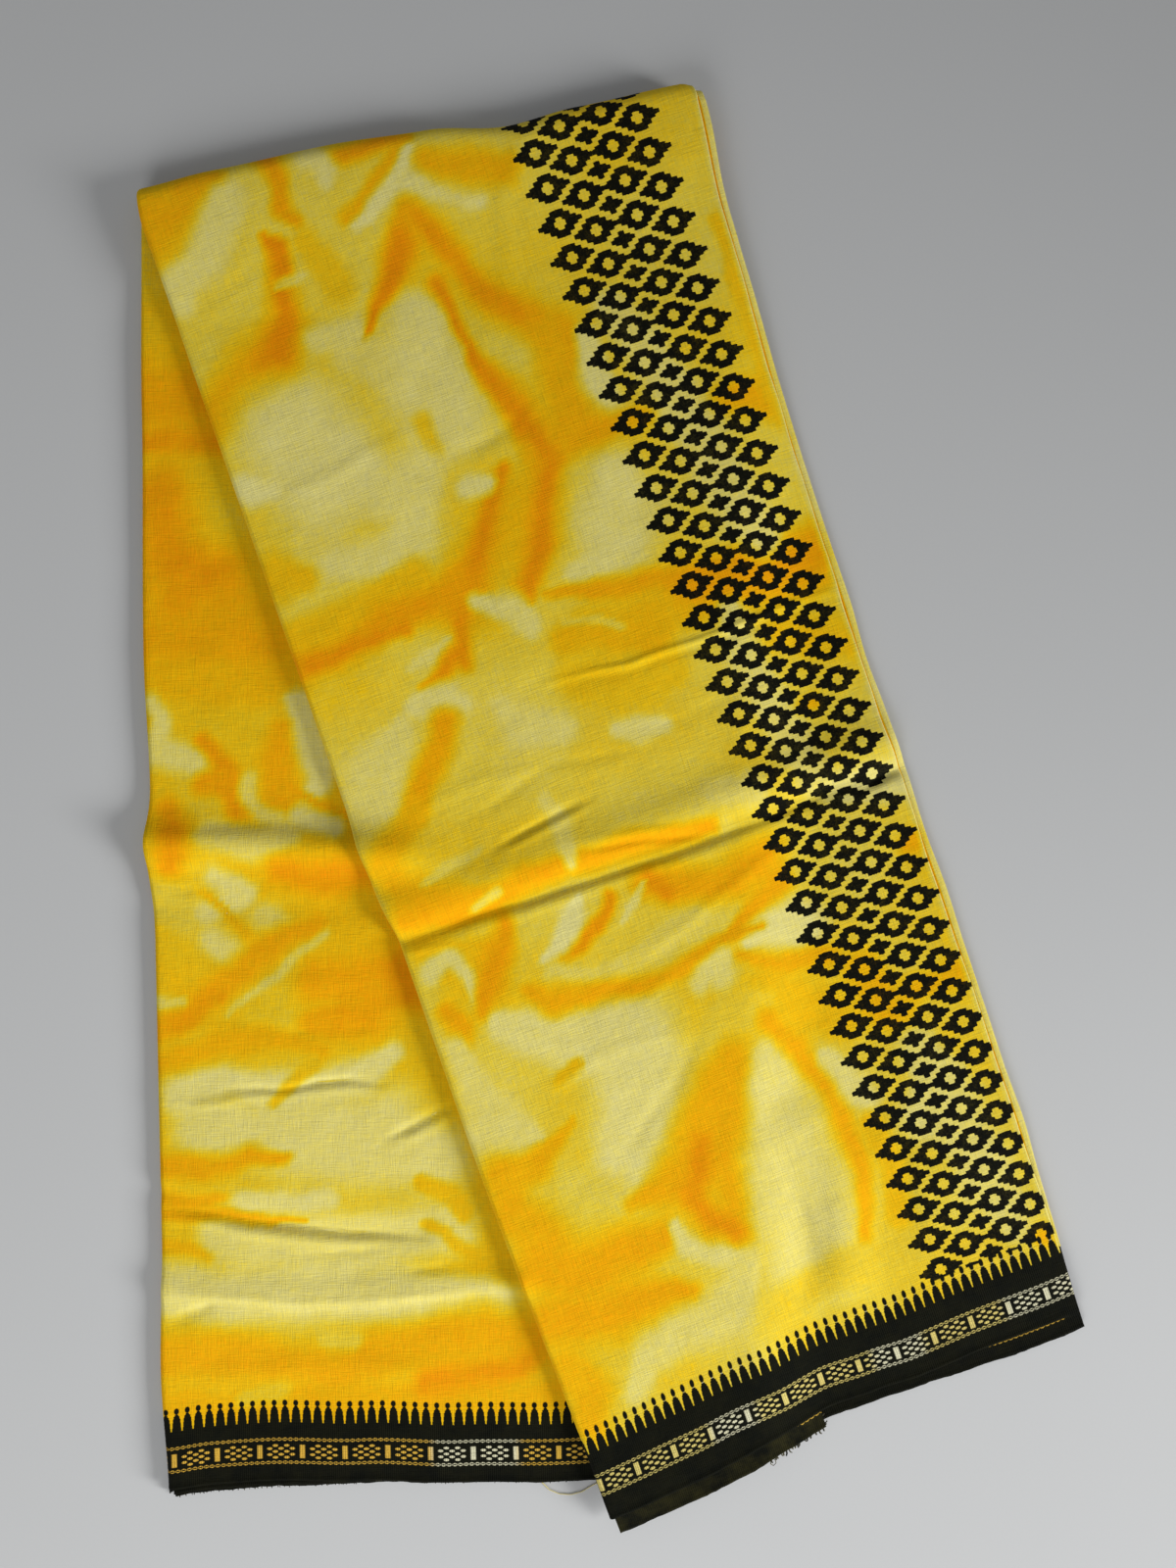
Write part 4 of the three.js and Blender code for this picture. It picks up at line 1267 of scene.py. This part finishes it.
# The cotton, from the leaf's own places: dye, the weave's grain, slubs, and then the print and
# the border, side being the border's pattern or None.
def cottonMaterial(name, side, hasPrint, rust="kept"):
    shader = Shader(name)
    tree = shader.tree
    place = shader.attribute("clothPlace").outputs["Vector"]
    parts = tree.nodes.new("ShaderNodeSeparateXYZ")
    tree.links.new(place, parts.inputs[0])
    across, down, fromHem = (Field(tree, parts.outputs[i]) for i in range(3))
    dyed = Field(tree, shader.attribute("dye").outputs["Fac"])

    # threads run both ways, each a little thicker or thinner along its length
    pitch = cloth["threadPitch"]
    run = cloth["threadRun"]
    warp = shader.noise(shader.vector(across * (1 / pitch), down * (run / pitch)), 1.0, 1.0)
    weft = shader.noise(shader.vector(across * (run / pitch), down * (1 / pitch), 7.0), 1.0, 1.0)
    fleck = shader.noise(shader.vector(across, down, 3.0), 1.5, 2.0)
    fast, slow = cloth["slubs"]
    slubDown = shader.noise(shader.vector(across * fast, down * slow, 11.0), 1.0, 2.0)
    slubAcross = shader.noise(shader.vector(across * slow, down * fast, 15.0), 1.0, 2.0)
    cloud = shader.noise(shader.vector(across, down, 21.0), 0.12, 3.0, 0.6)

    # the dye takes unevenly, thread by thread
    weave = warp + weft - 1.0
    takes, stray = cloth["unevenDye"], cloth["ink"]
    uneven = weave * takes["threads"] + (cloud - 0.5) * takes["clouds"] + (fleck - 0.5) * takes["flecks"]
    tone = shader.ramp(dyed + uneven, cloth["dyes"])
    grain = weave * cloth["grain"] + (slubDown + slubAcross - 1.0) * cloth["slub"] + 1.0
    grain = grain + (fleck - 0.5) * cloth["fleck"]
    colour = shader.shaded(tone, grain)

    ink = (fleck - 0.5) * stray["flecks"] + weave * stray["threads"]
    if hasPrint:
        worn = (cloud + fleck - 1.0) * -0.1 + 1.0
        mask = printMask(tree, across, down, ink) * worn.least(1.0)
        mask = mask * (fromHem - (border[side]["black"] + border[side]["knob"][1])).above(0.5)
        colour = shader.mix(mask, colour, linear(*cloth["print"]))
    if side:
        black = blackMask(across, fromHem + ink * 0.4, side)
        rusty = (cloud - 0.5).above(0.3) * cloth["rust"][rust]
        faded = shader.mix(rusty, linear(*cloth["black"]), linear(*cloth["rustyBlack"]))
        colour = shader.mix(black, colour, shader.shaded(faded, grain))
        pale = Field(tree, shader.attribute("paleThread").outputs["Fac"])
        golden = shader.mix(0.8, tone, linear(*cloth["threads"][side]))
        thread = shader.mix(pale, golden, linear(*cloth["paleThread"]))
        bright = brightMask(across + ink * 0.3, fromHem + ink * 0.3, side) * black
        # a place's paleness below 0 hides the bright threads
        shown = (pale + cloth["threadsShown"]).least(cloth["threadsShown"]).most(0.0)
        colour = shader.mix(bright * shown, colour, shader.shaded(thread, grain))

    tree.links.new(colour, shader.surface.inputs["Base Color"])
    shader.surface.inputs["Roughness"].default_value = cloth["roughness"]
    shader.surface.inputs["Sheen Weight"].default_value = cloth["sheen"]
    shader.surface.inputs["Sheen Roughness"].default_value = cloth["sheenRoughness"]
    shader.surface.inputs["Specular IOR Level"].default_value = cloth["gloss"]

    # the weave's relief, and small puckers between the threads
    pucker = shader.noise(shader.vector(across * 0.10, down * 0.15, 31.0), 1.0, 2.0, 0.45)
    deep = cloth["relief"]
    relief = (warp + weft) * deep["threads"] + (slubDown + slubAcross) * deep["slubs"]
    relief = relief + pucker * deep["pucker"]
    if side:
        # the border is woven in ribs
        ribs = (across * (2 * math.pi / cloth["ribPitch"])).do("SINE") * deep["ribs"]
        relief = relief + ribs * (fromHem * -1 + border[side]["black"]).above(0.4)
    shader.bump(relief, cloth["bump"], 1.0)
    return shader.material


printedCotton = cottonMaterial("tie-dyed cotton with block print", "front", True)
plainCotton = cottonMaterial("tie-dyed cotton", "rear", False)
foldedCotton = cottonMaterial("tie-dyed cotton, inner folds", None, False)
wornCotton = cottonMaterial("tie-dyed cotton, worn end", "rear", False, "worn")
print("materials made")


# The leaves. Rows close up where a flap has its sharp creases.
leaves = {
    "frontRows": [
        (0.40, 2.5), (0.445, 1.2), (0.50, 2.3), (0.535, 1.8), (0.61, 1.2), (0.66, 1.9), (1.0, 2.5),
    ],
    "rearRows": [
        (0.44, 3.0), (0.50, 1.8), (0.68, 2.2), (0.75, 1.3),
        (0.77, 2.0), (0.87, 1.25), (0.91, 1.5), (1.0, 2.6),
    ],
    "hiddenRows": [(1.0, 12.0)],
    "stackRows": [(1.0, 4.0)],
    "roundRows": 16,
    "columnStep": 2.15,
    "rearFineTo": 196,
}
frontRows = sharesOf(leaves["frontRows"])
rearRows = sharesOf(leaves["rearRows"])
hiddenRows = sharesOf(leaves["hiddenRows"])
printedSection = leafSection("outer", printedEdge, printedEdge - 0.5, leaves["columnStep"])
plainSection = leafSection("plain", plainEdge, leaves["rearFineTo"], leaves["columnStep"])


def turnOf(rear, front):
    return [bodyRows("rear", rear[::-1]), roundRows(leaves["roundRows"]), bodyRows("front", front)]


# The folded right edges aren't cut to a ruler: where along the fold each starts to sway and within
# how far, and the sway's height, size and seed. The printed leaf also closes on the fold beneath
# it towards the front hem: how far, from where down the leg, and within how far.
sways = {
    "leaf": {"from": 236, "within": 12, "high": 0.45, "size": 19, "seed": 71},
    "stack": {"in": 3.2, "within": 1.2, "high": 0.7, "size": 27, "seed": 73},
    "closing": (2.5, 470, 90),
}


def edgeSway(along, at, leg):
    sizes = sways["leaf"]
    far, start, within = sways["closing"]
    weight = smooth((along - sizes["from"]) / sizes["within"])
    closing = far * smooth((at - start) / within) if leg == "front" else 0
    return weight * (closing + sizes["high"] * lumps(at, 0 * at, sizes["size"], sizes["seed"]))


def stackSway(along, at, leg):
    sizes = sways["stack"]
    weight = smooth((along - fold["length"] + sizes["in"]) / sizes["within"])
    return weight * sizes["high"] * lumps(at, 0 * at, sizes["size"], sizes["seed"])


printedRows = turnOf(hiddenRows, frontRows)
printedGrids = sweep(printedSection, printedRows, "outer", sway=edgeSway, edge=printedEdge)
printedLeaf = clothMesh("printedLeaf", printedGrids, printedCotton)
print("printed leaf made of", 2 * len(printedLeaf.data.polygons), "triangles")
plainGrids = sweep(plainSection, turnOf(rearRows, hiddenRows), "plain")
plainLeaf = clothMesh("plainLeaf", plainGrids, plainCotton)
print("plain leaf made of", 2 * len(plainLeaf.data.polygons), "triangles")
stackRows = sharesOf(leaves["stackRows"])
stackGrids = sweep(
    stackSection(), turnOf(stackRows, stackRows), "outer", sway=stackSway, edge=fold["length"]
)
foldedLayers = clothMesh("foldedLayers", stackGrids, foldedCotton)
print("folded layers made of", 2 * len(foldedLayers.data.polygons), "triangles")

# The borders, one for each stretch that ends at a hem: the leaf's section, the leg it is on, how
# far it stands out past the printed hem, and the pattern that its face shows.
secondDepth = leafRoom
thirdDepth = packet["thick"] - 2 * packet["wall"] - packet["gap"] + 0.3
endPanelWidth = 115
borders = [
    {
        "name": "printedHem", "node": "printed_leaf_border", "leg": "front", "face": "outer",
        "section": printedSection,
    },
    {
        "name": "endPanelHem", "node": "end_panel_border", "leg": "front", "face": "outer",
        "section": stripSection(curlRadius, endPanelWidth, secondDepth), "peek": "endPanel", "ragged": 0.5,
    },
    {
        "name": "secondHem", "node": "second_leaf_border", "leg": "front", "face": "outer",
        "section": stripSection(curlRadius, fold["length"], thirdDepth), "peek": "secondLeaf", "ragged": 0.5,
    },
    {
        "name": "frontUnderHem", "node": "front_under_border", "leg": "front", "face": "plain",
        "section": plainSection,
    },
    {
        "name": "plainHem", "node": "plain_leaf_border", "leg": "rear", "face": "plain",
        "section": plainSection, "ragged": 0.3,
    },
    {
        "name": "rearThirdHem", "node": "rear_third_border", "leg": "rear", "face": "plain",
        "section": stripSection(curlRadius, fold["length"], thirdDepth), "peek": "rearThird", "ragged": 0.6,
    },
    {
        "name": "rearSecondHem", "node": "rear_second_border", "leg": "rear", "face": "outer",
        "section": stripSection(curlRadius, fold["length"], secondDepth), "peek": "rearSecond", "ragged": 0.7,
    },
    {
        "name": "rearUnderHem", "node": "rear_under_border", "leg": "rear", "face": "outer",
        "section": printedSection, "peek": "rearThird",
    },
]
hems = {}
for row in borders:
    isShown = row["name"] in ("printedHem", "plainHem")
    peek = row.get("peek", "flush")
    count = hemRows["shown"] if isShown else hemRows["hidden"]
    rows = [borderRows(row["leg"], packet["border"], peek, count, row.get("ragged", 0))]
    sway = edgeSway if row["name"] == "printedHem" else None
    grids = sweep(row["section"], rows, row["face"], peek, sway)
    material = {"printedHem": printedCotton, "endPanelHem": wornCotton}.get(row["name"], plainCotton)
    hems[row["name"]] = clothMesh(row["name"], grids, material)
print("borders made")

# Threads that stand out of the cut and woven edges, and one loose loop under the rear hem. A
# stretch is where it runs on a hem, as places along the fold and out from the hem, the way that
# its threads point, how far apart they are, and their length, radius and tone.
threads = {
    "sides": 4,
    "rooted": 0.8,  # how far inside its hem a thread starts
    "lean": 0.4,  # how far aside and down it ends, as shares of its length
    "uneven": (0.4, 1.6),
    "colours": [(0.0, (12, 12, 6)), (0.3, (60, 54, 18)), (0.6, (176, 152, 60)), (1.0, (222, 206, 130))],
    "stretches": [
        {
            "leg": "front", "peek": "endPanel", "depth": 1.6,
            "from": (84, 0), "to": (114.5, 0), "way": (0, 1),
            "apart": 2.0, "long": (0.9, 2.6), "thick": (0.28, 0.46), "tone": (0.0, 0.3),
        },
        {
            "leg": "front", "peek": "endPanel", "depth": 1.6,
            "from": (115, -7.5), "to": (115, 0), "way": (1, 0),
            "apart": 1.3, "long": (0.4, 1.3), "thick": (0.2, 0.34), "tone": (0.0, 0.4),
        },
        {
            "leg": "rear", "peek": "rearSecond", "depth": 1.6,
            "from": (3, 0), "to": (90, 0), "way": (0, 1),
            "apart": 1.9, "long": (0.2, 0.9), "thick": (0.14, 0.3), "tone": (0.0, 0.2),
        },
        {
            "leg": "rear", "peek": "flush", "depth": 4.6,
            "from": (90, 0), "to": (186, 0), "way": (0, 1),
            "apart": 2.4, "long": (0.2, 0.7), "thick": (0.12, 0.26), "tone": (0.0, 0.2),
        },
    ],
    "loop": [
        (165, -1.5), (166, 2.5), (169.5, 6.2), (174, 8.2), (179, 8.8), (184, 7.8), (188, 5.6), (193, 3.4),
    ],
    "loopUp": 0.3,  # above the table
    "knot": [(84, -0.5), (83.2, 1.3), (84.2, 2.6), (85.8, 2.2), (86.0, 0.9), (85.2, -0.5)],
}


def hemSpot(leg, peek, depth, along, out):
    along = np.array(float(along))
    at = flapLength(leg, along) + eased(hemPeek[peek], along) + out
    return [float(value) for value in packetPoint(leg, along, at, depth)]


# Each thread's points, its radius and its tone.
def threadPaths():
    random = np.random.default_rng(90)
    paths = []
    for row in threads["stretches"]:
        span = math.dist(row["from"], row["to"])
        passed = 0.0
        while passed < span:
            along, out = [a + (b - a) * passed / span for a, b in zip(row["from"], row["to"])]
            long = random.uniform(*row["long"])
            lean = random.uniform(-threads["lean"], threads["lean"]) * long
            wayAlong, wayOut = row["way"]
            drop = -threads["lean"] * long
            path = []
            stops = ((-threads["rooted"], 0, 0), (0.5 * long, 0.3 * lean, 0), (long, lean, drop))
            for reach, aside, up in stops:
                spotAlong = along + reach * wayAlong + aside * wayOut
                spotOut = out + reach * wayOut + aside * wayAlong
                x, y, z = hemSpot(row["leg"], row["peek"], row["depth"], spotAlong, spotOut)
                path.append((x, y, z + up))
            paths.append((path, random.uniform(*row["thick"]), random.uniform(*row["tone"])))
            passed += row["apart"] * random.uniform(*threads["uneven"])
    up = threads["loopUp"]
    loop = [(*hemSpot("rear", "flush", up, along, out)[:2], up) for along, out in threads["loop"]]
    paths.append((loop, 0.2, 1.0))
    knot = [hemSpot("front", "endPanel", 1.6, along, out) for along, out in threads["knot"]]
    paths.append((knot, 0.2, 0.3))
    return paths


# A tube along each of a mesh's edges, by Geometry Nodes.
def tubeNodes(material):
    tree = bpy.data.node_groups.new("loose threads", "GeometryNodeTree")
    tree.interface.new_socket("Geometry", in_out="INPUT", socket_type="NodeSocketGeometry")
    scale = tree.interface.new_socket("Radius scale", in_out="INPUT", socket_type="NodeSocketFloat")
    sides = tree.interface.new_socket("Thread sides", in_out="INPUT", socket_type="NodeSocketInt")
    tree.interface.new_socket("Geometry", in_out="OUTPUT", socket_type="NodeSocketGeometry")
    start = tree.nodes.new("NodeGroupInput")
    curve = tree.nodes.new("GeometryNodeMeshToCurve")
    own = tree.nodes.new("GeometryNodeInputNamedAttribute")
    own.data_type = "FLOAT"
    own.inputs["Name"].default_value = "thick"
    profile = tree.nodes.new("GeometryNodeCurvePrimitiveCircle")
    tube = tree.nodes.new("GeometryNodeCurveToMesh")
    tube.inputs["Fill Caps"].default_value = True
    whole = tree.nodes.new("GeometryNodeRealizeInstances")
    finish = tree.nodes.new("GeometryNodeSetMaterial")
    finish.inputs["Material"].default_value = material
    end = tree.nodes.new("NodeGroupOutput")
    links = [
        (start.outputs["Geometry"], curve.inputs["Mesh"]),
        (start.outputs["Thread sides"], profile.inputs["Resolution"]),
        (start.outputs["Radius scale"], profile.inputs["Radius"]),
        (curve.outputs["Curve"], tube.inputs["Curve"]),
        (own.outputs["Attribute"], tube.inputs["Scale"]),
        (profile.outputs["Curve"], tube.inputs["Profile Curve"]),
        (tube.outputs["Mesh"], whole.inputs["Geometry"]),
        (whole.outputs["Geometry"], finish.inputs["Geometry"]),
        (finish.outputs["Geometry"], end.inputs["Geometry"]),
    ]
    for out, into in links:
        tree.links.new(out, into)
    return tree, scale.identifier, sides.identifier


def threadMaterial():
    shader = Shader("loose cotton thread")
    place = shader.tree.nodes.new("ShaderNodeTexCoord").outputs["Object"]
    shade = Field(shader.tree, shader.attribute("tone").outputs["Fac"])
    shade = shade + (shader.noise(place, 400.0, 1.0) - 0.5) * 0.2
    colour = shader.ramp(shade, threads["colours"])
    shader.tree.links.new(colour, shader.surface.inputs["Base Color"])
    shader.bump(shader.noise(place, 2600.0, 1.0), 0.3, 0.1)
    shader.surface.inputs["Roughness"].default_value = 0.9
    return shader.material


def looseThreads():
    points, edges, thick, tones = [], [], [], []
    for path, radius, tone in threadPaths():
        first = len(points)
        thick += [radius] * len(path)
        tones += [tone] * len(path)
        points += [((x + foldStart[0]) * mm, (y + foldStart[1]) * mm, z * mm) for x, y, z in path]
        edges += [(first + i, first + i + 1) for i in range(len(path) - 1)]
    lines = bpy.data.meshes.new("threadLines")
    lines.from_pydata(points, edges, [])
    for label, values in (("thick", thick), ("tone", tones)):
        lines.attributes.new(label, "FLOAT", "POINT").data.foreach_set("value", values)
    holder = inScene("threadLines", lines)
    material = threadMaterial()
    tree, scaleKey, sidesKey = tubeNodes(material)
    modifier = holder.modifiers.new("tubes", "NODES")
    modifier.node_group = tree
    modifier[scaleKey] = mm
    modifier[sidesKey] = threads["sides"]
    graph = bpy.context.evaluated_depsgraph_get()
    mesh = bpy.data.meshes.new_from_object(holder.evaluated_get(graph))
    bpy.data.objects.remove(holder)
    mesh.name = "looseThreads"
    mesh.materials.clear()
    mesh.materials.append(material)
    return inScene("looseThreads", mesh)


frayed = looseThreads()
print("loose threads made of", len(frayed.data.polygons), "faces")

# The table and the light, which aren't part of the lungi.
table = {
    "size": 6.0, "below": 0.00005, "colour": (190, 191, 191), "speck": 0.03, "mottle": 0.05,
    "roughness": 0.6, "gloss": 0.2,
}
room = {
    "lamps": [
        {
            "name": "window", "at": (2.1, -0.95, 0.86), "aim": (0.0, -0.5, 0),
            "size": 0.8, "power": 9.6, "spread": 58,
        },
        {
            "name": "bounce", "at": (-0.5, -1.7, 0.9), "aim": (-0.15, -0.5, 0),
            "size": 1.2, "power": 3.9, "spread": 70,
        },
    ],
    "fill": (0.25, 0.252, 0.258),
}


def tableTop():
    half = table["size"] / 2
    mesh = bpy.data.meshes.new("table")
    corners = [(-half, -half), (half, -half), (half, half), (-half, half)]
    mesh.from_pydata([(x, y, -table["below"]) for x, y in corners], [], [(0, 1, 2, 3)])
    shader = Shader("pale table")
    place = shader.tree.nodes.new("ShaderNodeTexCoord").outputs["Object"]
    fine = shader.noise(place, 900, 2.0)
    broad = shader.noise(place, 2.5, 2.0)
    tone = (fine - 0.5) * table["speck"] + (broad - 0.5) * table["mottle"] + 1.0
    colour = shader.shaded(linear(*table["colour"]), tone)
    shader.tree.links.new(colour, shader.surface.inputs["Base Color"])
    shader.surface.inputs["Roughness"].default_value = table["roughness"]
    shader.surface.inputs["Specular IOR Level"].default_value = table["gloss"]
    mesh.materials.append(shader.material)
    top = inScene("table", mesh)


def lighting():
    for row in room["lamps"]:
        lamp = bpy.data.lights.new(row["name"], "AREA")
        lamp.shape = "SQUARE"
        lamp.size = row["size"]
        lamp.energy = row["power"]
        lamp.spread = math.radians(row["spread"])
        holder = inScene(row["name"], lamp)
        holder.location = row["at"]
        holder.rotation_euler = lampTurn([a - b for a, b in zip(row["aim"], row["at"])])
    world = bpy.data.worlds.new("room")
    world.use_nodes = True
    world.node_tree.nodes["Background"].inputs["Color"].default_value = (*room["fill"], 1)
    bpy.context.scene.world = world


def lampTurn(way):
    flat = math.hypot(way[0], way[1])
    return (math.atan2(flat, -way[2]), 0.0, math.atan2(-way[0], way[1]) if flat else 0.0)


# straight above, as the photo was taken; the sensor's size is that of the photo's long side
camera = {
    "height": 0.526, "lens": 27.03, "sensor": 36.0, "nearest": 0.01,
    "acrossFromFold": 198.7, "downFromFold": 261.4,
}


def photoCamera():
    data = bpy.data.cameras.new("photo")
    data.sensor_width = camera["sensor"]
    data.lens = camera["lens"]
    data.clip_start = camera["nearest"]
    holder = inScene("photo", data)
    x = (foldStart[0] + camera["acrossFromFold"]) * mm
    y = (foldStart[1] - camera["downFromFold"]) * mm
    holder.location = (x, y, camera["height"])
    bpy.context.scene.camera = holder
    bpy.context.scene.view_settings.view_transform = "Standard"


tableTop()
lighting()
photoCamera()

# Each piece hides the part of the frame that it stands for, and is attached to the root body.
for piece, node in ((printedLeaf, "printed_leaf"), (plainLeaf, "plain_leaf"), (foldedLayers, "inner_folds")):
    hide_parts(node)
    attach(piece, "root")
for row in borders:
    piece = hems[row["name"]]
    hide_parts(row["node"])
    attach(piece, "root")
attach(frayed, "root")
print("finished")
